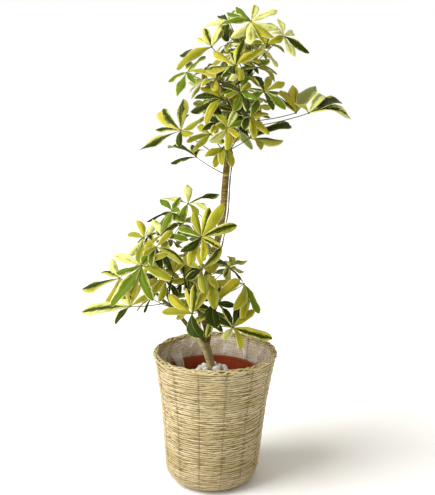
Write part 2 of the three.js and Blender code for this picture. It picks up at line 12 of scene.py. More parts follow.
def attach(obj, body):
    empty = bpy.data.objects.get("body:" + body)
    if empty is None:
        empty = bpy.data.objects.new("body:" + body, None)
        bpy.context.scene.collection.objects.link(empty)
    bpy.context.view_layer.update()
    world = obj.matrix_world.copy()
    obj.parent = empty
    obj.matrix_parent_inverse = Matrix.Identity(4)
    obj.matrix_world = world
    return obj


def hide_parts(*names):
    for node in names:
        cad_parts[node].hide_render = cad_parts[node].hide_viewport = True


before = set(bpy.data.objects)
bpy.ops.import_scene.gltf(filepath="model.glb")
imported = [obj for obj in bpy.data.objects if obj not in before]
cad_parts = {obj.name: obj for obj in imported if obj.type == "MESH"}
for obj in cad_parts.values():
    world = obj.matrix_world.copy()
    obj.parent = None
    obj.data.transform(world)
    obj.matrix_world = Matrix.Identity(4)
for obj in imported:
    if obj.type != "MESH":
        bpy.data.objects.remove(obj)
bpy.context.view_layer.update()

mm = 0.001
body = "root"


class Wire:
    # A node's output that can stand in a sum.
    def __init__(self, nodes, socket):
        self.nodes = nodes
        self.socket = socket

    def maths(self, operation, *parts, clamp=False):
        settings = {"operation": operation, "use_clamp": clamp}
        return self.nodes.add("ShaderNodeMath", settings, dict(enumerate(parts)))

    def __add__(self, other):
        return self.maths("ADD", self, other)

    def __sub__(self, other):
        return self.maths("SUBTRACT", self, other)

    def __rsub__(self, other):
        return self.maths("SUBTRACT", other, self)

    def __mul__(self, other):
        return self.maths("MULTIPLY", self, other)

    def __truediv__(self, other):
        return self.maths("DIVIDE", self, other)

    def __pow__(self, other):
        return self.maths("POWER", self, other)

    def __abs__(self):
        return self.maths("ABSOLUTE", self)

    __radd__ = __add__
    __rmul__ = __mul__

    def sine(self):
        return self.maths("SINE", self)

    def held(self):
        # kept between 0 and 1
        return self.maths("ADD", self, 0.0, clamp=True)

    def over(self, edge, soft):
        # 0 below the edge, 1 above it, with a soft step of that width
        return self.maths("ADD", (self - edge) / soft, 0.5, clamp=True)


class Nodes:
    # A node tree that grows by calls, which hand back the new node's output.
    def __init__(self, tree):
        self.tree = tree

    def join(self, slot, value):
        if isinstance(value, Wire):
            self.tree.links.new(value.socket, slot)
        else:
            slot.default_value = value

    def add(self, kind, settings=None, inputs=None, out=0):
        # Any node: its type, its settings, then the values or wires of its sockets.
        node = self.tree.nodes.new(kind)
        for key, value in (settings or {}).items():
            setattr(node, key, value)
        for key, value in (inputs or {}).items():
            self.join(node.inputs[key], value)
        return Wire(self, node.outputs[out])

    def vector(self, operation, *parts):
        return self.add("ShaderNodeVectorMath", {"operation": operation}, dict(enumerate(parts)))

    def xyz(self, x, y, z):
        return self.add("ShaderNodeCombineXYZ", inputs={"X": x, "Y": y, "Z": z})

    def axis(self, letter, vector):
        return self.add("ShaderNodeSeparateXYZ", inputs={"Vector": vector}, out=letter)

    def noise(self, vector, scale, detail=3.0, roughness=0.55, distortion=0.0):
        # A scale of three numbers stretches the pattern.
        if isinstance(scale, tuple):
            vector = self.vector("MULTIPLY", vector, scale)
            scale = 1.0
        return self.add("ShaderNodeTexNoise", inputs={
            "Vector": vector, "Scale": scale, "Detail": detail, "Roughness": roughness,
            "Distortion": distortion})


class Finish(Nodes):
    # A material with one Principled shader; constants sit on the shader's own sockets.
    def __init__(self, name, **constants):
        self.material = bpy.data.materials.new(name)
        self.material.use_nodes = True
        super().__init__(self.material.node_tree)
        self.shader = self.tree.nodes["Principled BSDF"]
        for key, value in constants.items():
            self.wire(key.replace("_", " "), value)

    def place(self):
        return self.add("ShaderNodeTexCoord", out="Object")

    def attribute(self, name):
        return self.add("ShaderNodeAttribute", {"attribute_name": name}, out="Fac")

    def blend(self, factor, *colours):
        first, second = [colour if isinstance(colour, Wire) else (*colour, 1.0) for colour in colours]
        return self.add("ShaderNodeMix", {"data_type": "RGBA"}, {0: factor, 6: first, 7: second}, 2)

    def wire(self, name, value):
        self.join(self.shader.inputs[name], value)

    def bump(self, height, strength, depth):
        self.wire("Normal", self.add("ShaderNodeBump", inputs={
            "Strength": strength, "Distance": depth, "Height": height}))


def newTree(name, sockets):
    # A Geometry Nodes group with one geometry in and out, and the named inputs.
    tree = bpy.data.node_groups.new(name, "GeometryNodeTree")
    for label, kind in {"Geometry": "Geometry", **sockets}.items():
        tree.interface.new_socket(label, in_out="INPUT", socket_type="NodeSocket" + kind)
    tree.interface.new_socket("Geometry", in_out="OUTPUT", socket_type="NodeSocketGeometry")
    nodes = Nodes(tree)
    source = tree.nodes.new("NodeGroupInput")
    return nodes, {label: Wire(nodes, source.outputs[label]) for label in ("Geometry", *sockets)}


def named(nodes, name, kind="FLOAT"):
    return nodes.add("GeometryNodeInputNamedAttribute", {"data_type": kind}, {"Name": name})


def together(nodes, *parts):
    node = nodes.tree.nodes.new("GeometryNodeJoinGeometry")
    for part in parts:
        nodes.join(node.inputs[0], part)
    return Wire(nodes, node.outputs[0])


def tubeAlong(nodes, path, profile, scale):
    return nodes.add("GeometryNodeCurveToMesh", inputs={
        "Curve": path, "Profile Curve": profile, "Scale": scale, "Fill Caps": True})


def scattered(nodes, points, shapes, word):
    # Instances of a collection's shapes on points, which carry their turn, size and kind.
    turn = named(nodes, word + "Turn", "FLOAT_VECTOR")
    choices = nodes.add("GeometryNodeCollectionInfo", inputs={
        "Collection": shapes, "Separate Children": True, "Reset Children": True})
    return nodes.add("GeometryNodeInstanceOnPoints", inputs={
        "Points": points, "Instance": choices, "Pick Instance": True,
        "Instance Index": named(nodes, word + "Kind"), "Scale": named(nodes, word + "Size", "FLOAT_VECTOR"),
        "Rotation": nodes.add("FunctionNodeEulerToRotation", inputs={"Euler": turn})})


def endTree(nodes, geometry, material):
    whole = nodes.add("GeometryNodeRealizeInstances", inputs={"Geometry": geometry})
    smooth = nodes.add("GeometryNodeSetShadeSmooth", inputs={"Geometry": whole})
    done = nodes.add("GeometryNodeSetMaterial", inputs={"Geometry": smooth, "Material": material})
    nodes.join(nodes.tree.nodes.new("NodeGroupOutput").inputs[0], done)


def addObject(name, data):
    thing = bpy.data.objects.new(name, data)
    bpy.context.scene.collection.objects.link(thing)
    return thing


def mark(mesh, name, values):
    # Stores a number or a vector at each of the mesh's points.
    if isinstance(values[0], tuple):
        flat = [number for row in values for number in row]
        mesh.attributes.new(name, "FLOAT_VECTOR", "POINT").data.foreach_set("vector", flat)
    else:
        mesh.attributes.new(name, "FLOAT", "POINT").data.foreach_set("value", values)


def pathHost(name, paths, values):
    # Polylines, or loose points as paths of one, with what a tree needs to know at each point.
    points = [tuple(p * mm) for path in paths for p in path]
    edges = []
    start = 0
    for path in paths:
        edges += [(start + i, start + i + 1) for i in range(len(path) - 1)]
        start += len(path)
    mesh = bpy.data.meshes.new(name)
    mesh.from_pydata(points, edges, [])
    for key, rows in values.items():
        mark(mesh, key, rows)
    return addObject(name, mesh)


def grow(name, host, nodes, values):
    # Runs the tree on the host object and keeps its result as a plain mesh.
    modifier = host.modifiers.new("grow", "NODES")
    modifier.node_group = nodes.tree
    for item in nodes.tree.interface.items_tree:
        if item.in_out == "INPUT" and item.name in values:
            modifier[item.identifier] = values[item.name]
    ready = host.evaluated_get(bpy.context.evaluated_depsgraph_get())
    mesh = bpy.data.meshes.new_from_object(ready)
    host.modifiers.remove(modifier)
    mesh.name = name
    piece = addObject(name, mesh)
    bpy.data.objects.remove(host)
    return piece


def meshPiece(name, points, faces, smooth=True):
    mesh = bpy.data.meshes.new(name)
    mesh.from_pydata([tuple(p) for p in points], [], faces)
    mesh.validate()
    if smooth:
        mesh.shade_smooth()
    return addObject(name, mesh)


def outwards(piece):
    shape = bmesh.new()
    shape.from_mesh(piece.data)
    bmesh.ops.recalc_face_normals(shape, faces=shape.faces)
    shape.to_mesh(piece.data)
    shape.free()


def dress(piece, material):
    piece.data.materials.clear()
    piece.data.materials.append(material)


def settle(piece, material, slot, *nodes):
    # The piece rides on the one body and stands for its CAD nodes; a grown one has its material.
    if material:
        dress(piece, material)
    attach(piece, body)
    if nodes:
        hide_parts(*nodes)


def chance(n):
    # The same repeatable number from 0 to 1 that the CAD model draws.
    s = math.sin(n * 12.9898) * 43758.5453
    return s - math.floor(s)


def clamped(value, low=0, high=1):
    return min(max(value, low), high)


def arc(cx, cz, r, start, end, steps):
    angles = [math.radians(start + (end - start) * i / steps) for i in range(steps + 1)]
    return [(cx + r * math.cos(a), cz + r * math.sin(a)) for a in angles]


def turned(name, profile, sides, reshape=None):
    # A closed solid of revolution from (radius, height) points.
    points = []
    rings = []
    for radius, z in profile:
        ring = []
        for k in range(1 if radius == 0 else sides):
            angle = 2 * math.pi * k / sides
            p = Vector((radius * math.cos(angle), radius * math.sin(angle), z))
            if reshape:
                reshape(p, angle)
            ring.append(len(points))
            points.append(p * mm)
        rings.append(ring)
    faces = []
    for low, high in zip(rings, rings[1:]):
        for k in range(sides):
            n = (k + 1) % sides
            quad = [low[k % len(low)], low[n % len(low)], high[n % len(high)], high[k % len(high)]]
            quad = [v for i, v in enumerate(quad) if v not in quad[:i]]
            if len(quad) > 2:
                faces.append(quad)
    piece = meshPiece(name, points, faces)
    outwards(piece)
    return piece


def cup(name, middle, bend, wall, steps, sides, reshape):
    # A turned cup: its bend's middle and radius, its outer wall as (radius, height) points from
    # below, then its thickness.
    centre, rise = middle
    outer, thick = bend
    inner = outer - thick
    return turned(name, [
        (0, rise - outer), *arc(centre, rise, outer, -90, 0, steps), *wall,
        *[(radius - thick, z) for radius, z in reversed(wall)],
        *arc(centre, rise, inner, 0, -90, steps), (0, rise - inner)], sides, reshape)


def sheetFaces(rows, across):
    # The faces of a thin closed sheet, from a grid of upper points and then one of lower points.
    count = rows * across
    faces = []
    for i in range(rows - 1):
        for k in range(across - 1):
            a = i * across + k
            faces.append([a, a + 1, a + across + 1, a + across])
            faces.append([count + a, count + a + across, count + a + across + 1, count + a + 1])
    rim = [i * across for i in range(rows)] + [(rows - 1) * across + k for k in range(1, across)]
    rim += [i * across + across - 1 for i in range(rows - 2, -1, -1)] + list(range(across - 2, 0, -1))
    return faces + [[a, b, count + b, count + a] for a, b in zip(rim, rim[1:] + rim[:1])]


def surfaceOf(*nodes):
    # The CAD nodes' faces as one tree that finds the nearest point or a crossing.
    points = []
    faces = []
    for node in nodes:
        start = len(points)
        points += [v.co.copy() for v in node.data.vertices]
        faces += [[start + v for v in p.vertices] for p in node.data.polygons]
    return BVHTree.FromPolygons(points, faces)


view = {
    "place": (0.0154, -1.700, 0.918),  # where the photograph was taken from
    "tiltDown": 10.85,                 # degrees
    "lens": 52.1,
    "farthest": 100,
    "floorSize": 30.0,
    "floorColour": (0.93, 0.93, 0.92),
    "floorMottle": 0.99,
    "backdrop": (1, 1, 1, 1),
    "roomLight": 0.60,
    "roomColour": (1.0, 0.95, 0.86, 1),
    "suns": [((-0.85, -0.30, 1.05), 2.75, 38),  # from where, how strong, degrees across
             ((-0.88, -0.44, 0.42), 1.5, 45)],
}


def makeView():
    camera = addObject("camera", bpy.data.cameras.new("camera"))
    camera.location = view["place"]
    camera.rotation_euler = (math.radians(90 - view["tiltDown"]), 0, 0)
    camera.data.lens = view["lens"]
    camera.data.clip_end = view["farthest"]
    bpy.context.scene.camera = camera

    # The camera sees a white room, and the plant is lit by a warmer, dimmer one.
    world = bpy.data.worlds.new("room")
    world.use_nodes = True
    room = Nodes(world.node_tree)
    lighting = room.tree.nodes["Background"]
    lighting.inputs["Color"].default_value = view["roomColour"]
    lighting.inputs["Strength"].default_value = view["roomLight"]
    shown = room.add("ShaderNodeBackground", inputs={"Color": view["backdrop"], "Strength": 1.0})
    mixed = room.add("ShaderNodeMixShader", inputs={
        0: room.add("ShaderNodeLightPath"), 1: Wire(room, lighting.outputs[0]), 2: shown})
    room.join(room.tree.nodes["World Output"].inputs["Surface"], mixed)
    bpy.context.scene.world = world
    bpy.context.scene.view_settings.view_transform = "Standard"

    for number, (place, energy, across) in enumerate(view["suns"]):
        lamp = addObject("softLight%d" % number, bpy.data.lights.new("softLight%d" % number, "SUN"))
        lamp.data.energy = energy
        lamp.data.angle = math.radians(across)
        lamp.rotation_euler = Vector(place).to_track_quat("Z", "Y").to_euler()

    half = view["floorSize"] / 2
    floor = meshPiece("floor", [(-half, -half, 0), (half, -half, 0), (half, half, 0), (-half, half, 0)],
                      [(0, 1, 2, 3)], smooth=False)
    paint = Finish("palePaint", Roughness=0.9)
    colour = view["floorColour"]
    mottled = [view["floorMottle"] * c for c in colour]
    paint.wire("Base Color", paint.blend(paint.noise(paint.place(), 0.6), colour, mottled))
    dress(floor, paint.material)
    print("camera, light and floor made")


basket = {
    "height": 335,
    "lean": 10,
    "wall": 6,
    "corner": 41,
    "baseRadius": 119,
    "topRadius": 149,
    "flare": 0.2,         # the share of its widening that comes near the top
    "rimRadius": 147,
    "rimRoll": 6.5,
    "strands": {          # half height, half thickness, how far it strays
        "wovenWall": (2.6, 2.3, 2.2),
        "twistedRim": (2.2, 2.1, 1.8),
        "seamTwine": (0.6, 0.6, 0.0),
    },
    "strandInset": 3.5,   # from the basket's face to the strand's middle
    "lowest": 3.2,        # no strand's middle lies lower
    "pitch": 5.5,         # from one row of straw to the next
    "stepsRound": 240,
    "overUnder": 0.5,     # each row bulges out over one stake and in at the next
    "evenBelow": 8,       # turns at the base's edge in which the bulges grow
    "turnsOver": 2.5,     # where a row gives way to the next one: stakes past the first, at the back
    # painted shade on the rows that lie in
    "recessShade": 0.08,
    "seams": 14,          # upright rows of stitches
    "seamStart": 23.4,    # degrees
    "seamWidth": 1.1,     # degrees to each side
    "seamSide": 0.35,     # degrees that every second stitch stands aside
    # a stitch's pinch also paints shade into the dip of the strands there
    "seamHold": (0.1, 0.55),  # the least pinch of a stitch, and how much more at most
    "twineFrom": 6,       # above the corner
    "twineSide": 0.9,
    "twineSunk": (2.6, 0.4),  # below the straw's face, under a row and over it
    # painted shade on the twine where it sinks under the straw
    "twinePaintedShade": 0.45,
    "twineShade": 0.8,
    "skin": 3.0,          # from the straw's outside to the dark layer behind it, which paints the shade seen between the strands
    "skinThick": 1.2,
    "skinGap": 0.2,       # from there to the inner weave
    "innerProud": 0.4,    # the inner weave ends this far before the CAD wall's inside
    "wallHeights": [80, 120, 160, 200, 240, 280, 328],
    "shellSides": 96,
    "bendSteps": 10,
    "footReach": 6,       # of the base's disc past the wall's bend
    "footBevel": (4, 1.2),
    "swell": (5, 200, 125),  # the straw is fuller below the rim: how far, from which height, over how much
    "rimStrands": [(4, 12, 2.6), (3, -7, 1.8)],  # how many, turns round the core, how deep they lie
    "rimSteps": 560,
    "rimWander": 0.5,
    "rimDrop": 0.4,
    "coreEvery": 4,
    # painted shade: the rim's core is darkened to stand for the shade between its strands
    "coreShade": 0.9,
    "seed": 7,
}

strawColours = {
    "wall": [(0.50, 0.40, 0.19), (0.68, 0.56, 0.32), (0.20, 0.135, 0.035)],  # deep, light, between fibres
    "rim": [(0.50, 0.39, 0.15), (0.70, 0.58, 0.29), (0.26, 0.18, 0.05)],
    "green": (0.38, 0.32, 0.13),
    "pale": (0.72, 0.63, 0.43),
    # painted shade for strands that are pinched at a stitch, lie in, or form the rim's core
    "paintedShade": (0.10, 0.06, 0.02),
    # painted shade: the dark layer seen between the strands
    "gapShade": [(0.16, 0.11, 0.04), (0.26, 0.19, 0.08)],
    # the inner weave: painted shade in the lines between rows, and straw painted lighter than the outer
    # straw as painted light
    "inside": [(0.36, 0.24, 0.09), (0.90, 0.77, 0.52)],
    "insideFibres": (0.42, 0.29, 0.12),
    "stake": (0.10, 0.055, 0.02),
}


def basketShift(z):
    return basket["lean"] * z / basket["height"]


def onBasket(radius, angle, z):
    return Vector((radius * math.cos(angle) + basketShift(z), radius * math.sin(angle), z))


def leaned(p, angle):
    p.x += basketShift(p.z)


def basketRadius(z):
    t = clamped((z - basket["corner"]) / (basket["height"] - basket["corner"]))
    late = basket["flare"]
    spread = basket["topRadius"] - basket["baseRadius"]
    return basket["baseRadius"] + spread * ((1 - late) * t + late * t ** 3)


def strawRadius(z):
    swell, begin, over = basket["swell"]
    return basketRadius(z) + swell * clamped((z - begin) / over)


def wallPoint(s):
    # (radius, height) of the basket's outer face at a distance s along it from the base's edge.
    corner = basket["corner"]
    bend = corner * math.pi / 2
    if s < bend:
        angle = s / corner - math.pi / 2
        return basket["baseRadius"] - corner + corner * math.cos(angle), corner + corner * math.sin(angle)
    z = corner + (s - bend)
    return strawRadius(z), z


def strawFinish(name, deepTan, lightTan, dark):
    straw = Finish(name, Roughness=0.5, Specular_IOR_Level=0.75)
    place = straw.place()
    shade = straw.attribute("strandShade")
    fibres = straw.noise(place, (75, 75, 900), 3.0, 0.6)
    tan = straw.blend(straw.noise(place, 26.0).over(0.5, 0.4), deepTan, lightTan)
    green = straw.blend(shade.over(0.7, 0.3) * 0.6, tan, strawColours["green"])
    pale = straw.blend((1 - shade).over(0.7, 0.3) * 0.55, green, strawColours["pale"])
    streaked = straw.blend(fibres.over(0.40, 0.16), dark, pale)
    # painted shade: the straw darkens towards the bottom
    lowShade = straw.blend((1.0 - straw.axis("Z", place) * 5.0).held() * 0.45, streaked, dark)
    # painted shade where a strand is pinched at a stitch, lies in, or is the rim's core
    straw.wire("Base Color", straw.blend(straw.attribute("pinch").held(), lowShade, strawColours["paintedShade"]))
    straw.bump(fibres, 0.9, 0.0016)
    return straw.material


def innerFinish():
    # The inside of the weave: rows of straw between upright stakes. Its dark lines between rows are painted
    # shade, and its straw is painted lighter than the outer straw as painted light.
    straw = Finish("innerStraw", Roughness=0.8, Specular_IOR_Level=0.2)
    place = straw.place()
    over, deep, height = [straw.axis(letter, place) for letter in "XYZ"]
    wobble = straw.noise(place, (14, 14, 60))
    rows = (height * (2 * math.pi / (basket["pitch"] * mm)) + wobble * 9.0).sine() * 0.5 + 0.5
    fibres = straw.noise(place, (50, 50, 700))
    half = basket["seams"] / 2
    turn = over.maths("ARCTAN2", deep, over) * half - math.radians(basket["seamStart"]) * half
    stake = (1 - abs(turn.sine()) * 7.0).held()
    # painted shade in the dark lines between the rows
    colour = straw.blend(rows.over(0.25, 0.5), *strawColours["inside"])
    lined = straw.blend(fibres.over(0.42, 0.3), strawColours["insideFibres"], colour)
    straw.wire("Base Color", straw.blend(stake * 0.8, lined, strawColours["stake"]))
    straw.bump(rows, 0.8, 0.0015)
    return straw.material


def strandTree():
    # A path becomes one straw strand: it strays a little, and has a flat oval section.
    tree, given = newTree("strawStrand", {
        "Half Height": "Float", "Half Depth": "Float", "Waver": "Float", "Material": "Material"})
    path = tree.add("GeometryNodeMeshToCurve", inputs={"Mesh": given["Geometry"]})
    at = tree.add("GeometryNodeInputPosition")
    stray, twist, bulge = [tree.noise(at, scale, 1.0, 0.5) - 0.5
                           for scale in ((14, 14, 150), (52, 52, 210), (38, 38, 230))]
    pinch = named(tree, "pinch")
    depth = given["Half Depth"]
    rise = (stray + twist * 0.9) * 2.0 * given["Waver"] * (1 - pinch)
    outward = tree.vector("NORMALIZE", tree.vector("MULTIPLY", at, (1, 1, 0)))
    swell = bulge * depth * 2.4 - pinch * depth * 0.6
    offset = tree.add("ShaderNodeVectorMath", {"operation": "SCALE"}, {0: outward, "Scale": swell})
    moved = tree.add("GeometryNodeSetPosition", inputs={
        "Geometry": path, "Offset": tree.vector("ADD", offset, tree.xyz(0.0, 0.0, rise))})
    ring = tree.add("GeometryNodeCurvePrimitiveCircle", inputs={"Resolution": 6, "Radius": 1.0})
    oval = tree.add("GeometryNodeTransform", inputs={
        "Geometry": ring, "Scale": tree.xyz(depth, given["Half Height"], 1.0)})
    endTree(tree, tubeAlong(tree, moved, oval, 0.92 - pinch * 0.1 + twist * 0.9), given["Material"])
    return tree


def wovenWall():
    # One strand climbs the wall as a spiral from the base's edge to the rim.
    draw = random.Random(basket["seed"])
    corner = basket["corner"]
    pitch = basket["pitch"]
    seams = basket["seams"]
    inset = basket["strandInset"]
    least, more = basket["seamHold"]
    flat = basket["baseRadius"] - corner
    top = basket["height"] - 2 * basket["rimRoll"] - 1
    length = corner * math.pi / 2 + top - corner
    rows = int(length / pitch) + 1
    seamStep = 360 / seams
    tones = [draw.random() for _ in range(rows * seams + 20)]
    path = []
    pinchAndShades = []
    shades = []
    for i in range(rows * basket["stepsRound"]):
        turn = i / basket["stepsRound"]
        angle = math.radians(360 * turn)
        radius, z = wallPoint(min(turn * pitch + 2, length + pitch))
        slope = 1 if z > corner else (radius - flat) / corner
        stake = turn * seams - basket["seamStart"] / seamStep
        row = math.floor((stake - basket["turnsOver"]) / seams)
        lift = math.cos(math.pi * stake) * (1 if row % 2 else -1) * min(turn / basket["evenBelow"], 1)
        reach = radius - (inset - basket["overUnder"] * lift) * slope
        spot = onBasket(reach, angle, z + inset * math.sqrt(max(1 - slope * slope, 0)))
        spot.z = max(spot.z, basket["lowest"])
        path.append(spot)
        side = basket["seamSide"] if int(turn) % 2 else -basket["seamSide"]
        away = (math.degrees(angle) - basket["seamStart"] + side + seamStep / 2) % seamStep - seamStep / 2
        held = least + more * chance(int(turn * seams + 0.5))
        # painted shade on the rows that lie in, through the same value as the pinch
        pinchAndShades.append(max((1 - abs(away) / basket["seamWidth"]) * held, -basket["recessShade"] * lift, 0.0))
        step = turn * seams
        low, high = tones[int(step):int(step) + 2]
        shades.append(low + (high - low) * (step - int(step)))
    return pathHost("strandPath", [path], {"pinch": pinchAndShades, "strandShade": shades})


def twistedRim():
    # Strands wound both ways round the rim's core, none of them quite evenly.
    paths = []
    shades = []
    count = basket["rimSteps"]
    middle = basket["height"] - basket["rimRoll"] - basket["rimDrop"]
    for strands, turns, deep in basket["rimStrands"]:
        for strand in range(strands):
            path = []
            for i in range(count + 1):
                turn = 2 * math.pi * i / count
                twist = turns * turn + 2 * math.pi * strand / strands + 0.5 * math.sin(7 * turn + strand)
                away = basket["rimRoll"] - deep + basket["rimWander"] * math.sin(11 * turn + 2 * strand)
                radius = basket["rimRadius"] + away * math.cos(twist)
                path.append(onBasket(radius, turn, middle + away * math.sin(twist)))
                shades.append(0.5 + 0.3 * math.sin(5 * turn + 2 * strand))
            paths.append(path)
    steps = range(0, count + 1, basket["coreEvery"])
    paths.append([onBasket(basket["rimRadius"], 2 * math.pi * i / count, middle) for i in steps])
    # painted shade: the core is darkened to stand for the shade between the rim's strands
    dark = [0.0] * len(shades) + [basket["coreShade"]] * len(steps)
    return pathHost("rimPath", paths, {"pinch": dark, "strandShade": shades + [0.5] * len(steps)})


def seamTwine():
    # Thin twine zigzags up each seam, over one row of straw and under the next.
    paths = []
    rows = int((basket["height"] - basket["corner"]) / basket["pitch"]) - 2
    for seam in range(basket["seams"]):
        path = []
        base = math.radians(basket["seamStart"] + 360 * seam / basket["seams"])
        for i in range(rows * 2):
            z = basket["corner"] + basket["twineFrom"] + i * basket["pitch"] / 2
            side = basket["twineSide"] if i % 4 < 2 else -basket["twineSide"]
            out = strawRadius(z)
            path.append(onBasket(out - basket["twineSunk"][i % 2], base + side / out, z))
        paths.append(path)
    total = sum(len(path) for path in paths)
    # the twine's pinch value paints shade on it
    return pathHost("twinePath", paths, {
        "pinch": [basket["twinePaintedShade"]] * total, "strandShade": [basket["twineShade"]] * total})


def makeBasket():
    straw = strawFinish("wovenStraw", *strawColours["wall"])
    golden = strawFinish("rimStraw", *strawColours["rim"])
    tree = strandTree()
    hosts = {"wovenWall": (wovenWall(), straw), "twistedRim": (twistedRim(), golden),
             "seamTwine": (seamTwine(), straw)}
    for name, (host, material) in hosts.items():
        high, deep, waver = [size * mm for size in basket["strands"][name]]
        strands = grow(name, host, tree, {
            "Material": material, "Half Height": high, "Half Depth": deep, "Waver": waver})
        settle(strands, None, "straw_weave", "basket")

    corner = basket["corner"]
    centre = basket["baseRadius"] - corner
    sides = basket["shellSides"]
    skin = basket["skin"]
    behind = skin + basket["skinThick"]

    def shell(name, outer, inner, radius):
        wall = [(radius(z) - outer, z) for z in basket["wallHeights"]]
        bend = (corner - outer, inner - outer)
        return cup(name, (centre, corner), bend, wall, basket["bendSteps"], sides, leaned)

    # painted shade: a dark layer behind the straw, seen between the strands, and on the underside of the
    # base
    shade = Finish("strawGaps", Roughness=0.9, Specular_IOR_Level=0.1)
    shade.wire("Base Color", shade.blend(shade.noise(shade.place(), 90.0), *strawColours["gapShade"]))
    gapShade = shell("strawGaps", skin, behind, strawRadius)
    within = basket["wall"] - basket["innerProud"]
    inside = shell("innerWeave", behind + basket["skinGap"], within, basketRadius)
    foot = centre + basket["footReach"]
    inward, upward = basket["footBevel"]
    profile = [(0, 0), (foot - inward, 0), (foot, upward), (foot, skin), (0, skin + 1)]
    base = turned("basketBase", profile, sides)
    for piece, material in ((gapShade, shade.material), (inside, innerFinish()), (base, shade.material)):
        settle(piece, material, "straw_weave", "basket")
    print("basket woven")


film = {
    "top": 323,
    "thickness": 0.5,
    "inset": 5,           # from the basket's inside
    "lift": 0.4,
    "wallFrom": 60,
    "wallRows": 30,
    "sides": 240,
    "bendSteps": 8,
    "stillBelow": 45,     # the film is smooth low down, and its waves grow over this height
    "growOver": 282,
    "wave": 1.8,
    "folds": (1.1, 0.7),  # upright folds, then creases across them
    "edgeFrom": 0.7,      # the share of the height where the top edge's own waves begin
    "edgeWave": 4,
    "edgeFrill": 1.2,
    "flapAt": 136,        # degrees round the basket
    "flapTurn": 14,       # further round at its foot
    "flapWide": 10,
    "flapFolds": 4,
    "flapFold": 2.2,
    "flapStep": 5,
    "flapRoute": [[129, 319], [128, 300], [117, 287], [108, 276], [104, 262], [101, 248]],  # reach, height
}


def crinkle(p, angle):
    share = clamped((p.z - film["stillBelow"]) / film["growOver"])
    wave = film["wave"] * share * (math.sin(5 * angle + 1) + 0.6 * math.sin(9 * angle + p.z / 40))
    fold = film["folds"][0] * share * math.sin(23 * angle + 0.05 * p.z + 2 * math.sin(3 * angle))
    fold += film["folds"][1] * share * math.sin(0.23 * p.z + 6 * math.sin(4 * angle + 1))
    reach = math.hypot(p.x, p.y)
    if reach > 0:
        p.x *= (reach + wave + fold) / reach
        p.y *= (reach + wave + fold) / reach
    edge = max(share - film["edgeFrom"], 0) / (1 - film["edgeFrom"])
    p.z += edge * film["edgeWave"] * (math.sin(3 * angle + 2) + 0.5 * math.sin(7 * angle))
    p.z += edge * film["edgeFrill"] * math.sin(31 * angle + 2 * math.sin(6 * angle))
    leaned(p, angle)


def filmFinish():
    clear = Finish("crinkledFilm", IOR=1.45)
    place = clear.place()
    creases = clear.noise(place, 26.0, 4.0, 0.55, 0.8)
    fine = clear.noise(place, 90.0, 3.0, 0.5, 1.0)
    ridge = 1 - abs(clear.noise(place, (30, 30, 16), 3.0, 0.5, 1.2) - 0.5) * 2.0
    glint = ridge.over(0.975, 0.03) * creases.over(0.54, 0.1)
    sheen = clear.blend(creases, (0.92, 0.83, 0.74), (1.0, 0.95, 0.90))
    lying = 1 - clear.attribute("filmFlap")
    clear.wire("Base Color", clear.blend(glint, sheen, (1.0, 1.0, 1.0)))
    clear.wire("Alpha", (creases.over(0.58, 0.26) * 0.30 + 0.22 + glint * lying * 0.30).held())
    clear.wire("Roughness", creases * 0.25 + 0.06)
    clear.bump(creases + fine * 0.3, 0.8, 0.006)
    return clear.material


def filmFlap():
    # A fold of the film that hangs over the pot's edge at the back left.
    points = []
    route = smoothRoute(film["flapRoute"], film["flapStep"])
    half = film["thickness"] / 2
    across = film["flapFolds"] * 4 + 1
    for side in (half, -half):
        for i, (reach, z) in enumerate(route):
            t = i / (len(route) - 1)
            at = film["flapAt"] + film["flapTurn"] * t + 2 * math.sin(5 * t)
            for k in range(across):
                u = k / (film["flapFolds"] * 2) - 1
                angle = math.radians(at + u * film["flapWide"] * (1 - 0.3 * t))
                out = reach + film["flapFold"] * math.sin(k * math.pi / 2 + 2.5 * t) * (0.3 + t) + side
                points.append(onBasket(out, angle, z) * mm)
    piece = meshPiece("filmFlap", points, sheetFaces(len(route), across))
    outwards(piece)
    mark(piece.data, "filmFlap", [1.0] * len(points))
    return piece


def makeFilm():
    corner = basket["corner"] - basket["wall"] - film["inset"]
    centre = basket["baseRadius"] - basket["corner"]
    low, rows = film["wallFrom"], film["wallRows"]
    heights = [low + (film["top"] - low) * i / rows for i in range(rows + 1)]
    wall = [(basketRadius(z) - basket["wall"] - film["inset"], z) for z in heights]
    middle = (centre, corner + basket["wall"] + film["lift"])
    clear = filmFinish()
    bend = (corner, film["thickness"])
    lining = cup("liningFilm", middle, bend, wall, film["bendSteps"], film["sides"], crinkle)
    settle(lining, clear, "clear_film", "liner_film")
    settle(filmFlap(), clear, "clear_film", "liner_film")
    print("film laid in")


pot = {
    "rimRadius": 118,
    "baseRadius": 80,
    "wall": 2.6,
    "lipHeight": 18,
    "lipReach": 3.2,
    "top": 280,
    "floor": 7.5,
    "foot": 77,
    "sides": 96,
    "soilTop": 232,
}


def potRadius(z):
    low, high = pot["floor"], pot["top"]
    spread = pot["rimRadius"] - pot["lipReach"] - pot["baseRadius"]
    return pot["baseRadius"] + spread * (z - low) / (high - low)


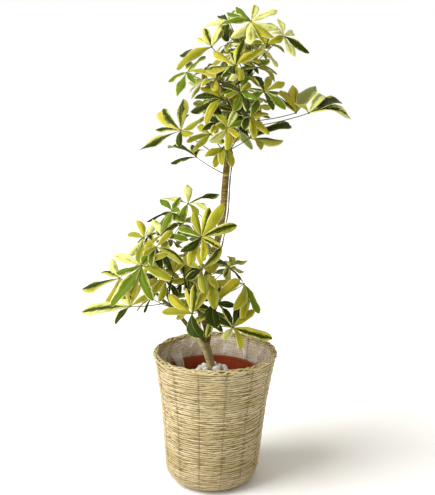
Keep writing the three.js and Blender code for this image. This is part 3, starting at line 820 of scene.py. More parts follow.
def makePot():
    wall = pot["wall"]
    floor = pot["floor"]
    foot = pot["foot"]
    top = pot["top"]
    rim = pot["rimRadius"]
    lip = top - pot["lipHeight"]
    within = rim - pot["lipReach"] - wall
    outside = [(potRadius(z), z) for z in (12, 120, lip - 1)]
    inside = [(potRadius(z) - wall, z) for z in (150, 12)]
    growPot = turned("growPot", [
        (0, floor), (foot - 3, floor), (foot, floor + 0.6), *outside,
        (rim - 1.2, lip - 0.2), (rim - 0.6, lip + 0.6), (rim, top - 1), (rim - 0.5, top - 0.2),
        (rim - 1.4, top), (within + 1.2, top), (within + 0.2, top - 0.6), (within, top - 2.5), *inside,
        (potRadius(11) - wall - 3, floor + wall), (0, floor + wall)], pot["sides"])
    clay = Finish("terracottaPlastic", Specular_IOR_Level=0.25)
    place = clay.place()
    dust = clay.noise(place, 160.0)
    mottle = clay.noise(place, 18.0, 4.0)
    clay.wire("Base Color", clay.blend(mottle, (0.21, 0.030, 0.005), (0.31, 0.050, 0.010)))
    clay.wire("Roughness", dust * 0.3 + 0.3)
    clay.bump(dust, 0.15, 0.0006)
    settle(growPot, clay.material, "terracotta_plastic", "grow_pot")

    earth = Finish("pottingSoil", Roughness=0.95)
    crumbs = earth.noise(earth.place(), 260.0, 6.0, 0.7)
    earth.wire("Base Color", earth.blend(crumbs.over(0.5, 0.3), (0.025, 0.015, 0.008), (0.10, 0.06, 0.035)))
    earth.bump(crumbs, 0.9, 0.003)
    dress(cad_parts["soil"], earth.material)
    print("grow pot and soil finished")


pebble = {
    "seed": 21,
    "radius": 9.6,
    "sizes": (0.82, 1.1),   # of that radius
    "shapes": 5,
    "waves": 4,
    "waveSize": 0.07,
    "flatness": (0.82, 0.66),
    "squareness": 0.9,
    "trunkFoot": (0, 34),
    "trunkGap": 18.5,       # from the trunk's axis to the nearest pebble's middle
    "rings": 11,
    "ringStep": 1.75,       # pebble radii from ring to ring
    "spacing": 2.15,        # and from pebble to pebble
    "stray": 0.3,           # of that spacing
    "tip": 0.5,             # radians
    "rise": (-1.5, 4),
    "bedTop": 242,
    "mound": 40,            # how much higher the pebbles are heaped round the trunk
    "moundReach": 48,
    "edgeGap": 3.4,         # between the bed and the pot's inside
    "bedLift": 0.4,         # above the soil
    "bedThick": 3,
    "bedSunk": 5,
    "bedStep": 7,
    "bedSides": 64,
}


def bedHeight(x, y):
    away = math.dist((x, y), pebble["trunkFoot"]) / pebble["moundReach"]
    return pebble["bedTop"] + pebble["mound"] * math.exp(-(away ** 2))


def heapUp(p, angle):
    if p.z > pot["soilTop"] + 1:
        p.z = bedHeight(p.x, p.y) - pebble["bedSunk"]


def pebbleFinish():
    stone = Finish("whitePebble")
    place = stone.place()
    grain = stone.noise(place, 420.0, 4.0, 0.7)
    white = stone.blend(stone.noise(place, 60.0), (0.86, 0.86, 0.86), (0.97, 0.97, 0.96))
    grey = stone.attribute("pebbleTone").over(0.85, 0.3)
    stone.wire("Base Color", stone.blend(grey, white, (0.66, 0.65, 0.63)))
    stone.wire("Roughness", grain * 0.35 + 0.35)
    stone.bump(grain, 0.25, 0.0006)
    return stone.material


def pebbleShape(name, draw):
    # A rounded stone of unit radius with low waves.
    shape = bmesh.new()
    bmesh.ops.create_icosphere(shape, subdivisions=2, radius=1.0)
    waves = [(Vector([draw.uniform(-1.6, 1.6) for _ in range(3)]), draw.uniform(0, 6))
             for _ in range(pebble["waves"])]
    broad, high = pebble["flatness"]
    for vertex in shape.verts:
        p = vertex.co
        swell = 1 + sum(pebble["waveSize"] * math.sin(wave.dot(p) + phase) for wave, phase in waves)
        p.x = math.copysign(abs(p.x) ** pebble["squareness"], p.x)
        vertex.co = Vector((p.x, broad * p.y, high * p.z)) * swell
    mesh = bpy.data.meshes.new(name)
    shape.to_mesh(mesh)
    shape.free()
    return bpy.data.objects.new(name, mesh)


def makePebbles():
    draw = random.Random(pebble["seed"])
    shapes = bpy.data.collections.new("pebbleShapes")
    for index in range(pebble["shapes"]):
        shapes.objects.link(pebbleShape("pebbleShape%d" % index, draw))

    spots = []
    values = {"pebbleTurn": [], "pebbleSize": [], "pebbleTone": [], "pebbleKind": []}
    middle = Vector(pebble["trunkFoot"])
    common = pebble["radius"]
    tip = pebble["tip"]
    reach = potRadius(pot["soilTop"]) - pot["wall"] - pebble["edgeGap"]
    for ring in range(pebble["rings"]):
        radius = pebble["trunkGap"] + pebble["ringStep"] * common * ring
        count = int(2 * math.pi * radius / (pebble["spacing"] * common))
        for i in range(count):
            angle = 2 * math.pi * (i + 0.5 * (ring % 2) + pebble["stray"] * draw.random()) / count
            spot = middle + Vector((radius * math.cos(angle), radius * math.sin(angle)))
            size = common * draw.uniform(*pebble["sizes"])
            turn = (draw.uniform(-tip, tip), draw.uniform(-tip, tip), draw.uniform(0, 6.28))
            if spot.length < reach - common:
                rise = bedHeight(*spot) + draw.uniform(*pebble["rise"])
                spots.append([Vector((spot.x, spot.y, rise))])
                stone = (turn, (size * mm,) * 3, draw.random(), draw.randrange(pebble["shapes"]))
                for rows, value in zip(values.values(), stone):
                    rows.append(value)
    tree, given = newTree("pebbleBed", {"Shapes": "Collection", "Material": "Material"})
    endTree(tree, scattered(tree, given["Geometry"], given["Shapes"], "pebble"), given["Material"])
    stones = grow("pebbles", pathHost("pebbleSpots", spots, values), tree, {
        "Shapes": shapes, "Material": pebbleFinish()})
    settle(stones, None, "white_pebble", "pebbles")

    low = pot["soilTop"] + pebble["bedLift"]
    high = low + pebble["bedThick"]
    top = [(r, high) for r in (reach, *range(12 * pebble["bedStep"], -1, -pebble["bedStep"]))]
    bed = turned("pebbleBed", [(0, low), (reach, low), *top], pebble["bedSides"], heapUp)
    # a gravel bed under the pebbles: gravel texture, with painted shade in its dark crevices between the
    # pebbles
    gravelAndShade = Finish("pebbleGravel", Roughness=0.8)
    spot = {"Vector": gravelAndShade.place(), "Scale": 110.0}
    bits = gravelAndShade.add("ShaderNodeTexVoronoi", inputs=spot, out="Distance")
    gravelAndShade.wire("Base Color", gravelAndShade.blend(bits, (0.55, 0.52, 0.47), (0.10, 0.07, 0.05)))
    gravelAndShade.bump(1 - bits, 1.0, 0.006)
    settle(bed, gravelAndShade.material, "white_pebble", "pebbles")
    print("pebbles heaped:", len(spots))


# Stations of the wood as [x, y, z, radius], from the root up.
stems = {
    "stump": [[4, 34, 150, 9], [4, 35, 210, 10], [2, 35, 262, 10.2], [-10, 30, 318, 11.4],
              [-21, 27, 344, 13], [-29, 24, 364, 14], [-31, 23, 370, 12.5]],
    "tall": [[-14, 28, 322, 8], [-10, 32, 365, 8.6], [-18, 33, 400, 8.6], [-28, 31, 440, 8.6],
             [-22, 26, 485, 8.5], [-8, 18, 525, 8.4], [4, 11, 565, 8.3], [14, 6, 604, 8.2],
             [25, 1, 655, 8.2], [31, 0, 707, 8.1], [35, 0, 765, 7.9], [39, 0, 805, 7.7], [45, 0, 845, 7.3],
             [54, 0, 893, 6.8],
             [66, 3, 945, 6], [77, 5, 990, 5.2], [87, 5, 1040, 4.2], [90, 2, 1060, 3]],
    "fork": [[54, 0, 893, 4.6], [44, -13, 930, 4.2], [32, -24, 963, 3.7], [25, -30, 990, 2.8]],
    "left": [[-28, 25, 350, 6], [-42, 17, 371, 5.4], [-56, 2, 392, 5], [-73, -15, 421, 4.7],
             [-94, -35, 451, 4.3], [-116, -50, 476, 3.8], [-138, -60, 504, 3]],
    "leftUpper": [[-84, -26, 437, 4], [-104, -22, 474, 3.8], [-115, -20, 524, 3.5], [-118, -25, 579, 3.1],
                  [-114, -30, 630, 2.5]],
    "right": [[-17, 21, 344, 4.6], [-9, 7, 374, 4.3], [-1, -8, 408, 4], [8, -20, 440, 3.7],
              [20, -30, 468, 3.4], [40, -40, 496, 2.8]],
    "front": [[-21, 21, 346, 4.6], [-27, 3, 376, 4.4], [-30, -7, 400, 4.2], [-28, -24, 435, 4],
              [-26, -38, 480, 3.6], [-24, -50, 530, 3.2], [-21, -60, 574, 2.6]],
}

aerialRoot = [[42, 1, 832], [51, -3, 818], [49, -6, 790], [45, -9, 754], [43, -11, 716], [41, -12, 682],
              [36, -12, 652], [29, -12, 611], [20, -9, 575], [10, -2, 548], [-7, 15, 522]]

stemLook = {
    "sides": 28,
    "twigSides": 16,
    "step": 2.2,          # between rings along a stem
    "scarEvery": 17,      # leaf scars ring the bark
    "scarSwell": 0.055,
    "twigScarEvery": 21,
    "twigScarSwell": 0.10,
    "topRound": 0.5,      # how high a rounded end rises, of its radius
    "rootRadius": 1.6,
    "rootSides": 8,
    "rootStep": 3,
}

# dark, middling and light bark
barkColours = {
    "brownBark": [(0.05, 0.032, 0.004), (0.19, 0.13, 0.025), (0.38, 0.28, 0.09)],
    "oliveBark": [(0.36, 0.27, 0.09), (0.66, 0.53, 0.24), (0.84, 0.72, 0.40)],
    "greenStem": [(0.05, 0.055, 0.010), (0.14, 0.16, 0.030), (0.26, 0.27, 0.07)],
    "rootSkin": [(0.03, 0.035, 0.012), (0.07, 0.08, 0.03), (0.12, 0.14, 0.06)],
}


def smoothRoute(stations, step):
    # A Catmull-Rom curve through the stations, as short even steps; each station is a list of numbers.
    rows = [stations[0], *stations, stations[-1]]
    route = []
    for a, b, c, d in zip(rows, rows[1:], rows[2:], rows[3:]):
        length = math.dist(b[:3], c[:3])
        count = max(2, int(length / step))
        for i in range(count):
            t = i / count
            route.append([0.5 * (2 * q + (r - p) * t + (2 * p - 5 * q + 4 * r - s) * t * t
                                 + (3 * q - p - 3 * r + s) * t ** 3) for p, q, r, s in zip(a, b, c, d)])
    route.append(list(stations[-1]))
    return route


def sweep(stations, step, sides, swell, roundTop=True):
    # Points and faces of a closed tube through [x, y, z, radius] stations, swollen by a rule.
    route = smoothRoute(stations, step)
    points = []
    faces = []
    side = Vector((1, 0, 0))
    count = len(route)
    travelled = 0.0
    for i, (x, y, z, radius) in enumerate(route):
        at = Vector((x, y, z))
        after, before = route[min(i + 1, count - 1)], route[max(i - 1, 0)]
        along = (Vector(after[:3]) - Vector(before[:3])).normalized()
        side = (side - along * side.dot(along)).normalized()
        across = along.cross(side)
        if i:
            travelled += math.dist(before[:3], route[i][:3])
        for k in range(sides):
            angle = 2 * math.pi * k / sides
            r = radius * swell(travelled, angle, i / count)
            points.append((at + side * r * math.cos(angle) + across * r * math.sin(angle)) * mm)
    for i in range(count - 1):
        for k in range(sides):
            n = (k + 1) % sides
            faces.append([i * sides + k, i * sides + n, (i + 1) * sides + n, (i + 1) * sides + k])
    last = (count - 1) * sides
    faces.append(list(reversed(range(sides))))
    top = len(points)
    middle = sum((points[last + k] for k in range(sides)), Vector()) / sides
    points.append(middle + along * (stemLook["topRound"] * route[-1][3] * mm if roundTop else 0))
    faces += [[last + k, last + (k + 1) % sides, top] for k in range(sides)]
    return points, faces


def joined(name, parts):
    points = []
    faces = []
    for partPoints, partFaces in parts:
        start = len(points)
        points += partPoints
        faces += [[v + start for v in face] for face in partFaces]
    return meshPiece(name, points, faces)


def hump(value, middle, width):
    return math.exp(-((value - middle) / width) ** 2)


def barkSwell(travelled, angle, share):
    turns = travelled / stemLook["scarEvery"]
    scar = hump((turns + 0.5 * chance(int(turns))) % 1, 0.5, 0.09)
    lumps = 0.03 * math.sin(3 * angle + travelled / 23) + 0.02 * math.sin(5 * angle - travelled / 11)
    return 1 + stemLook["scarSwell"] * scar + lumps


def stumpSwell(travelled, angle, share):
    knob = 0.13 * hump(share, 0.93, 0.07) * math.sin(3 * angle + 1)
    return 1 + 0.035 * math.sin(4 * angle + travelled / 30) + 0.02 * math.sin(7 * angle) + knob


def twigSwell(travelled, angle, share):
    scar = hump((travelled / stemLook["twigScarEvery"]) % 1, 0.5, 0.1)
    return 1 + stemLook["twigScarSwell"] * scar + 0.02 * math.sin(2 * angle)


def rootSwell(travelled, angle, share):
    return 1 + 0.15 * math.sin(travelled / 6)


def barkFinish(name, rough=1.0):
    dark, mid, light = barkColours[name]
    bark = Finish(name, Specular_IOR_Level=0.15)
    place = bark.place()
    grain = bark.noise(place, (420, 420, 110), 5.0, 0.65)
    rings = bark.noise(place, (20, 20, 230), 3.0, 0.6)
    colour = bark.blend(bark.noise(place, 34.0).over(0.5, 0.4), mid, light)
    grained = bark.blend((1 - grain.over(0.46, 0.3)) * rough, colour, dark)
    ringed = bark.blend((1 - rings.over(0.40, 0.2)) * rough, grained, dark)
    scarred = bark.blend(rings.over(0.62, 0.06) * 0.7, ringed, [min(1.7 * c, 1.0) for c in light])
    bark.wire("Base Color", scarred)
    bark.wire("Roughness", grain * 0.3 + 0.55)
    bark.bump(grain * 0.6 + rings, 0.6, 0.0012)
    return bark, scarred


def stumpFinish():
    # Smooth tan bark, with painted shade darkening the side away from the light.
    bark, tan = barkFinish("oliveBark", 0.5)
    place = bark.place()
    over, height = bark.axis("X", place), bark.axis("Z", place)
    foot, top = stems["stump"][2], stems["stump"][-1]
    lean = (top[0] - foot[0]) / (top[2] - foot[2])
    across = (over - foot[0] * mm - (height - foot[2] * mm) * lean) / (foot[3] * mm)
    # painted shade: the side away from the light is darkened
    bark.wire("Base Color", bark.blend(across.over(0.25, 1.0) * 0.75, tan, (0.20, 0.17, 0.045)))
    return bark


def makeStems():
    brown, _ = barkFinish("brownBark")
    green, _ = barkFinish("greenStem", 0.7)
    skin, _ = barkFinish("rootSkin")

    def wood(name, parts, swell, finish, slot, node, sides=stemLook["sides"]):
        tubes = [sweep(stems[part], stemLook["step"], sides, swell, part != "stump") for part in parts]
        settle(joined(name, tubes), finish.material, slot, node)

    wood("tallStem", ["tall", "fork"], barkSwell, brown, "bark", "trunk")
    wood("stump", ["stump"], stumpSwell, stumpFinish(), "bark", "trunk")
    root = [[*p, stemLook["rootRadius"]] for p in aerialRoot]
    thread = joined("aerialRoot", [sweep(root, stemLook["rootStep"], stemLook["rootSides"], rootSwell)])
    settle(thread, skin.material, "bark", "trunk")
    for side, parts in (("left", ["left", "leftUpper"]), ("right", ["right"]), ("front", ["front"])):
        wood(side + "Shoot", parts, twigSwell, green, "green_stem", side + "_shoot", stemLook["twigSides"])
    print("stems grown")


# As in the CAD model, each leaf: the stem and the height where the petiole leaves it, the hub, the way
# the leaf faces, letters, and its leaflets as (direction, reach) seen from the front. The letters give
# each leaflet's colouring: p pale, y yellow, o olive, g green, d yellow with a dark streak, w pale with
# a dark streak, k mostly dark, u and v turned over, s and n dark and slender, b dark and broad.

def fan(start, count, reach):
    return [(start + i * 360 / count, reach - 8 * (i % 2)) for i in range(count)]


leafTables = {
    "upper": [
        ("tall", 1052, (90, -40, 1112), (0, -0.75, 0.66), "gggppoyppp", (130, 50), (155, 58), (180, 65),
         (-142, 56), (-92, 56), (-68, 60), (-44, 66), (-16, 62), (22, 64), (72, 42)),
        ("tall", 1000, (160, -60, 1080), (0.35, -0.7, 0.62), "pppdpy", (105, 42), (138, 48), (16, 30),
         (-30, 70), (-58, 50), (-150, 38)),
        ("tall", 984, (2, -30, 1058), (-0.25, -0.72, 0.64), "dpypky", (110, 46), (145, 40), (74, 54),
         (30, 34), (-170, 76), (-152, 92)),
        ("tall", 1030, (42, 60, 1124), (-0.3, -0.5, 0.8), "pykkg", (-172, 68), (-140, 46), (-100, 45),
         (135, 30), (60, 34)),
        ("fork", 972, (-54, -50, 1000), (-0.3, -0.65, 0.7), "gggpyg", (-158, 46), (-108, 56), (40, 56),
         (85, 36), (-2, 42), (-50, 32)),
        ("tall", 958, (54, -110, 1012), (0, -0.8, 0.6), "yddyky", (142, 60), (-176, 66), (74, 64),
         (36, 70), (-138, 38), (-70, 30)),
        ("fork", 954, (12, -70, 986), (-0.2, -0.6, 0.77), "pypkyy", (-178, 64), (150, 46), (105, 34),
         (55, 38), (-148, 34), (-95, 26)),
        ("fork", 925, (22, -90, 944), (-0.2, -0.7, 0.68), "ykkyog", (152, 50), (180, 58), (-158, 72),
         (-124, 60), (115, 32), (50, 32)),
        ("tall", 797, (-68, -40, 872), (-0.45, -0.6, 0.65), "ddnnkyo", (136, 74), (90, 74), (-154, 106),
         (180, 62), (-95, 32), (-12, 30), (30, 54)),
        ("tall", 768, (-36, 30, 808), (-0.3, -0.25, 0.92), "sssky", (155, 62), (170, 78), (-168, 66),
         (112, 26), (40, 24)),
        ("tall", 818, (36, -150, 880), (0.1, -0.85, 0.5), "uugyo", (60, 40), (-146, 42), (20, 56),
         (-90, 40), (130, 38)),
        ("tall", 846, (26, -70, 886), (-0.1, -0.7, 0.7), "kdkky", (114, 50), (74, 50), (162, 46),
         (-165, 46), (-135, 34)),
        ("tall", 784, (30, -60, 836), (-0.2, -0.75, 0.6), "yyyo", (-154, 48), (-96, 38), (-122, 44),
         (-66, 42)),
        ("tall", 808, (0, -50, 864), (-0.3, -0.6, 0.72), "yoyo", (-168, 58), (-138, 56), (140, 36),
         (-32, 30)),
        ("tall", 912, (118, -80, 958), (0.1, -0.75, 0.65), "yykgkgg", (68, 40), (30, 56), (112, 40),
         (-40, 60), (-66, 44), (-154, 58), (168, 40)),
        ("tall", 892, (194, -40, 912), (0.1, -0.55, 0.83), "dyyyv", (142, 80), (118, 62), (92, 60),
         (68, 56), (46, 82)),
        ("tall", 880, (212, -130, 912), (0.3, -0.45, 0.83), "wkuo", (-4, 104), (16, 88), (40, 48),
         (145, 32)),
        ("tall", 826, (88, -60, 856), (0.35, -0.5, 0.8), "ndkoy", (12, 108), (-6, 80), (122, 38),
         (68, 42), (-40, 32)),
        ("tall", 866, (86, -120, 902), (0.2, -0.75, 0.63), "yyygk", (-38, 52), (-82, 36), (15, 46),
         (64, 44), (-158, 34)),
        ("tall", 972, (94, 60, 1030), (0.3, -0.4, 0.86), "ggook", (-18, 70), (12, 50), (45, 42),
         (156, 34), (-110, 32)),
        ("tall", 940, (82, 30, 988), (0.2, -0.5, 0.84), "ggkko", (12, 44), (60, 34), (-20, 48),
         (-164, 42), (140, 32)),
        ("tall", 902, (64, -130, 956), (0, -0.8, 0.6), "kgogko", (155, 44), (-110, 38), (50, 30),
         (-20, 36), (-68, 38), (-160, 34)),
        ("tall", 857, (52, -44, 914), (0, -0.75, 0.66), "okkkud", (120, 36), (60, 32), (0, 36), (-55, 36),
         (-115, 32), (180, 36)),
    ],
    "lower": [
        ("tall", 636, (-56, 20, 696), (0, -0.45, 0.89), "ppkpgo", (94, 38), (170, 68), (20, 78),
         (-10, 46), (-112, 44), (-50, 34)),
        ("leftUpper", 618, (-92, -20, 684), (-0.3, -0.65, 0.7), "sgggg", (-156, 66), (-122, 62),
         (146, 36), (-32, 38), (62, 34)),
        ("front", 562, (-20, -150, 644), (0.1, -0.85, 0.5), "ydyddyykg", (108, 56), (74, 62), (54, 82),
         (16, 82), (-22, 46), (-84, 42), (-116, 60), (-150, 50), (162, 56)),
        ("leftUpper", 592, (-114, -80, 636), (-0.1, -0.7, 0.7), "ggpgyo", (-8, 64), (66, 54), (126, 42),
         (28, 40), (-142, 42), (-60, 40)),
        ("leftUpper", 572, (-156, -60, 626), (-0.3, -0.72, 0.62), "yyopp", (176, 44), (120, 40),
         (-98, 58), (-136, 46), (56, 34)),
        ("leftUpper", 548, (-122, -120, 616), (-0.1, -0.75, 0.65), "gkood", (-134, 42), (-70, 42),
         (150, 30), (30, 38), (-24, 66)),
        ("leftUpper", 524, (-152, -150, 580), (-0.25, -0.8, 0.55), "pggyoyg", (166, 68), (-130, 108),
         (-70, 68), (24, 62), (-18, 70), (-100, 64), (-165, 62)),
        ("left", 498, (-216, -50, 528), (-0.4, -0.6, 0.7), "ddpygo", (-164, 104), (170, 54), (128, 48),
         (-120, 62), (36, 42), (-70, 40)),
        ("left", 466, (-184, -120, 478), (-0.2, -0.6, 0.77), "wkdypo", (-172, 116), (-135, 40), (105, 50),
         (66, 42), (148, 40), (30, 56)),
        ("leftUpper", 490, (-84, -120, 556), (0, -0.75, 0.66), "yysky", (166, 62), (-140, 60), (-100, 46),
         (120, 44), (42, 48)),
        ("front", 498, (-62, -80, 540), (0.1, -0.7, 0.7), "kokos", (12, 46), (62, 50), (116, 42),
         (-28, 58), (-74, 50)),
        ("front", 436, (-40, -200, 484), (0, -0.85, 0.52), "yyddyb", (176, 66), (142, 66), (112, 54),
         (84, 56), (54, 62), (-64, 48)),
        ("right", 440, (6, -110, 484), (0.2, -0.7, 0.68), "bksyky", (-80, 46), (-12, 54), (-142, 36),
         (34, 74), (75, 36), (112, 48)),
        ("right", 487, (78, -50, 514), (0.45, -0.6, 0.66), "ysgyy", (166, 72), (132, 52), (-62, 70),
         (-92, 62), (-120, 54)),
        ("right", 402, (50, -120, 428), (0.15, -0.75, 0.65), "kkkydyp", (120, 42), (160, 38), (72, 50),
         (30, 60), (-16, 94), (-62, 38), (-150, 26)),
        ("front", 476, (-4, -60, 542), (0.2, -0.6, 0.77), "yyyoo", (140, 28), (40, 30), (-50, 30),
         (-88, 64), (-130, 42)),
        ("front", 534, (-20, -150, 572), (0.1, -0.8, 0.6), "dyoko", (45, 62), (95, 44), (152, 44),
         (-156, 36), (-78, 42)),
    ],
    "back": [
        ("tall", 1014, (72, 110, 1068), (0, 0.6, 0.8), "oykgyd", *fan(10, 6, 56)),
        ("tall", 928, (30, 120, 985), (-0.2, 0.6, 0.78), "gydyok", *fan(25, 6, 54)),
        ("tall", 896, (96, 130, 930), (0.2, 0.65, 0.73), "ydgoky", *fan(0, 6, 58)),
        ("tall", 862, (8, 112, 912), (-0.2, 0.6, 0.78), "kyogyd", *fan(35, 6, 56)),
        ("tall", 822, (74, 100, 868), (0.1, 0.6, 0.79), "yokyg", *fan(15, 5, 54)),
        ("leftUpper", 600, (-78, 80, 636), (-0.1, 0.6, 0.79), "gydoky", *fan(20, 6, 56)),
        ("tall", 560, (-26, 120, 592), (0, 0.65, 0.76), "dykygo", *fan(50, 6, 58)),
        ("leftUpper", 506, (-120, 66, 552), (-0.2, 0.6, 0.77), "ykgyd", *fan(5, 5, 58)),
        ("tall", 486, (44, 110, 518), (0.2, 0.6, 0.77), "oygkdy", *fan(30, 6, 54)),
        ("tall", 446, (-46, 108, 492), (-0.1, 0.6, 0.79), "kydgyo", *fan(0, 6, 54)),
    ],
}

# letter: (how far the green spreads, how dark it is, how pale the rest is); below 0 it is turned over
leafTones = {"p": (0.02, 0.0, 1.0), "y": (0.15, 0.1, 0.0), "o": (0.45, 0.2, 0.1), "g": (0.72, 0.5, 0.8),
             "d": (0.34, 1.0, 0.15), "w": (0.24, 1.0, 1.0), "k": (0.80, 1.0, 0.5), "u": (0.3, -1.0, 0.8),
             "s": (0.85, 1.0, 0.2), "b": (0.92, 1.0, 1.0), "n": (0.62, 1.0, 0.4), "v": (0.85, -1.0, 0.6)}
leafWidths = {"s": 0.3, "n": 0.6, "b": 1.8}

blade = {
    "leastLength": 60,
    "steepest": 1.7,
    "tilt": 0.5,
    "widthShare": 0.27,
    "widthBase": 4.5,
    "narrower": 0.9,        # than a CAD leaflet
    "arch": 0.07,
    "thickness": 0.5,       # on a leaflet of common length
    "commonLength": 75,
    "rows": 7,
    "columns": 4,
    "rowPower": 1.25,       # above 1 the rows lie closer towards the tip
    "stalkShare": 0.05,
    "stalkWidth": 0.045,
    "tipWidth": 0.30,
    "tipRound": 0.03,
    "outline": (0.9, 0.58, 0.377),   # powers at the foot and the tip, and the share for a width of 1
    "toneStray": 0.14,
    "liftShare": 0.11,
    "turnShare": 0.1,
    "onCad": 2.5,           # how far off the CAD leaf a leaflet's bend may lie, added up over two points
    "petioleMiddle": 0.55,
    "petioleBack": 0.16,
    "petioleRise": 0.05,
    "petioleShare": 0.11,
    "petioleRadius": 1.15,
    "petioleSteps": 18,
    "hubRadius": 2.4,
    # phase, wave, sideways bow, fold, droop
    "shapes": [(0.3, 0.03, 0.2, 0.05, 0.03), (2.1, 0.05, -0.4, 0.10, 0.08), (4.0, 0.03, 0.1, -0.05, 0.0),
               (5.2, 0.06, 0.4, 0.07, 0.11), (1.2, 0.04, -0.2, 0.13, 0.05), (3.1, 0.06, 0.0, 0.02, -0.04),
               (0.9, 0.03, 0.5, 0.09, -0.02), (4.6, 0.05, -0.5, -0.04, 0.06)],
}

bendsOfPetiole = [(a, b) for a in range(-3, 4) for b in range(-3, 4)]
bendsOfLeaflet = [(a, b) for a in range(-6, 7) for b in range(-2, 3)]


def stemPoint(stem, z):
    i = clamped(next((k for k, p in enumerate(stem) if p[2] >= z), 1), 1, len(stem) - 1)
    low, high = stem[i - 1], stem[i]
    return Vector(low[:3]).lerp(Vector(high[:3]), (z - low[2]) / (high[2] - low[2]))


def petioleBend(leaf, bend):
    # The petiole as the root, middle and end of a curve.
    root = stemPoint(stems[leaf["on"]], leaf["from"])
    hub = Vector(leaf["hub"])
    span = hub - root
    side = span.cross(Vector((0, 0, 1))).normalized()
    middle = root.lerp(hub, blade["petioleMiddle"])
    middle -= Vector(leaf["face"]) * blade["petioleBack"] * span.length
    middle += side * bend[0] * blade["petioleShare"] * span.length
    middle.z += (blade["petioleRise"] + bend[1] * blade["petioleShare"]) * span.length
    return root, middle, hub


def petiolePoint(petiole, t):
    root, middle, hub = petiole
    return root * (1 - t) ** 2 + middle * 2 * t * (1 - t) + hub * t * t


def leafletPlace(leaf, leaflet, seed, bend):
    # Which way a leaflet runs, its width's and its upper face's directions, and its length.
    angle, reach = leaflet
    face = Vector(leaf["face"]).normalized()
    seen = Vector((math.cos(math.radians(angle)), 0, math.sin(math.radians(angle))))
    depth = clamped(-face.dot(seen) / face.y, -blade["steepest"], blade["steepest"])
    needed = math.sqrt(max((blade["leastLength"] / reach) ** 2 - 1, 0))
    if abs(depth) < needed:
        depth = math.copysign(needed, depth or face.y)
    run = Vector((seen.x, depth, seen.z)) * reach
    length = run.length
    run.normalize()
    across = run.cross(face).normalized()
    out = across.cross(run)
    tilt = blade["tilt"] * (chance(seed) - 0.5)
    run = (run + out * bend[0] * blade["liftShare"] + across * bend[1] * blade["turnShare"]).normalized()
    across = across + out * tilt
    across = (across - run * across.dot(run)).normalized()
    return run, across, across.cross(run), length


def ribPoint(hub, place, t):
    run, across, out, length = place
    return hub + run * t * length + out * blade["arch"] * length * 4 * t * (1 - t)


def leafletHalf(length):
    return blade["narrower"] * (blade["widthShare"] * length + blade["widthBase"]) / 2


def nearest(surface, points):
    return sum(surface.find_nearest(p * mm)[3] for p in points)


def chosenPetiole(leaf, surface):
    # The bend that lies on the CAD leaf.
    def off(petiole):
        return nearest(surface, [petiolePoint(petiole, t) for t in (0.36, 0.7)])
    return min([petioleBend(leaf, bend) for bend in bendsOfPetiole], key=off)


def chosenPlace(leaf, leaflet, seed, surface):
    # The bend whose midrib lies on the CAD leaf, or none if the CAD leaf left this leaflet out.
    hub = Vector(leaf["hub"])
    places = [leafletPlace(leaf, leaflet, seed, bend) for bend in bendsOfLeaflet]
    offs = [nearest(surface, [ribPoint(hub, place, t) for t in (0.6, 1.0)]) for place in places]
    least = min(offs)
    return places[offs.index(least)] if least < blade["onCad"] * mm else None


def leafletShape(name, phase, wave, sideways, fold, droop):
    # A leaflet of unit length and half width: midrib along Y, upper face to +Z.
    rows, columns = blade["rows"], blade["columns"]
    footPower, tipPower, peak = blade["outline"]
    points, uvs, under = [], [], []
    for layer in (1, -1):
        for i in range(rows + 1):
            t = 1 - (1 - i / rows) ** blade["rowPower"]
            s = max((t - blade["stalkShare"]) / (1 - blade["stalkShare"]), 0)
            # a short stalk, a blade broadest past its middle, and a blunt tip
            least = blade["tipWidth"] if i == rows else blade["stalkWidth"]
            width = max(least, s ** footPower * (1 - min(s, 1)) ** tipPower / peak)
            for k in range(columns + 1):
                u = 2 * k / columns - 1
                rise = blade["arch"] * 4 * t * (1 - t) - fold * abs(u) * width - droop * t ** 3
                rise += wave * u * math.sin(8 * t + phase) * width
                rise += 0.5 * blade["thickness"] / blade["commonLength"] * layer * (1 - 0.5 * u * u)
                blunt = blade["tipRound"] * u * u if i == rows else 0
                points.append((u * width + sideways * math.sin(math.pi * t), t - blunt, rise))
                uvs.append((0.5 + 0.5 * u, t))
                under.append(0.0 if layer > 0 else 1.0)
    mesh = bpy.data.meshes.new(name)
    mesh.from_pydata(points, [], sheetFaces(rows + 1, columns + 1))
    layer = mesh.uv_layers.new(name="leafMap")
    for loop in mesh.loops:
        layer.data[loop.index].uv = uvs[loop.vertex_index]
    mark(mesh, "leafUnder", under)
    return bpy.data.objects.new(name, mesh)


def palmateTree():
    # A petiole from root to hub, a swollen hub, and leaflets on the host's points.
    tree, given = newTree("palmateLeaf", {
        "Root": "Vector", "Bend": "Vector", "Hub": "Vector", "Petiole Radius": "Float",
        "Hub Radius": "Float", "Leaflets": "Collection", "Material": "Material"})
    path = tree.add("GeometryNodeCurveQuadraticBezier", inputs={
        "Resolution": blade["petioleSteps"], "Start": given["Root"], "Middle": given["Bend"],
        "End": given["Hub"]})
    along = tree.add("GeometryNodeSplineParameter")
    taper = given["Petiole Radius"] * (1.0 + 0.9 * (1 - along) ** 9.0 - 0.22 * along)
    ring = tree.add("GeometryNodeCurvePrimitiveCircle", inputs={"Resolution": 8, "Radius": 1.0})
    knob = tree.add("GeometryNodeMeshIcoSphere", inputs={"Radius": given["Hub Radius"], "Subdivisions": 2})
    placed = tree.add("GeometryNodeTransform", inputs={"Geometry": knob, "Translation": given["Hub"]})
    stalk = together(tree, tubeAlong(tree, path, ring, taper), placed)
    marked = tree.add("GeometryNodeStoreNamedAttribute", {"data_type": "FLOAT", "domain": "POINT"}, {
        "Geometry": stalk, "Name": "leafStalk", "Value": 1.0})
    leaflets = scattered(tree, given["Geometry"], given["Leaflets"], "leaf")
    endTree(tree, together(tree, leaflets, marked), given["Material"])
    return tree


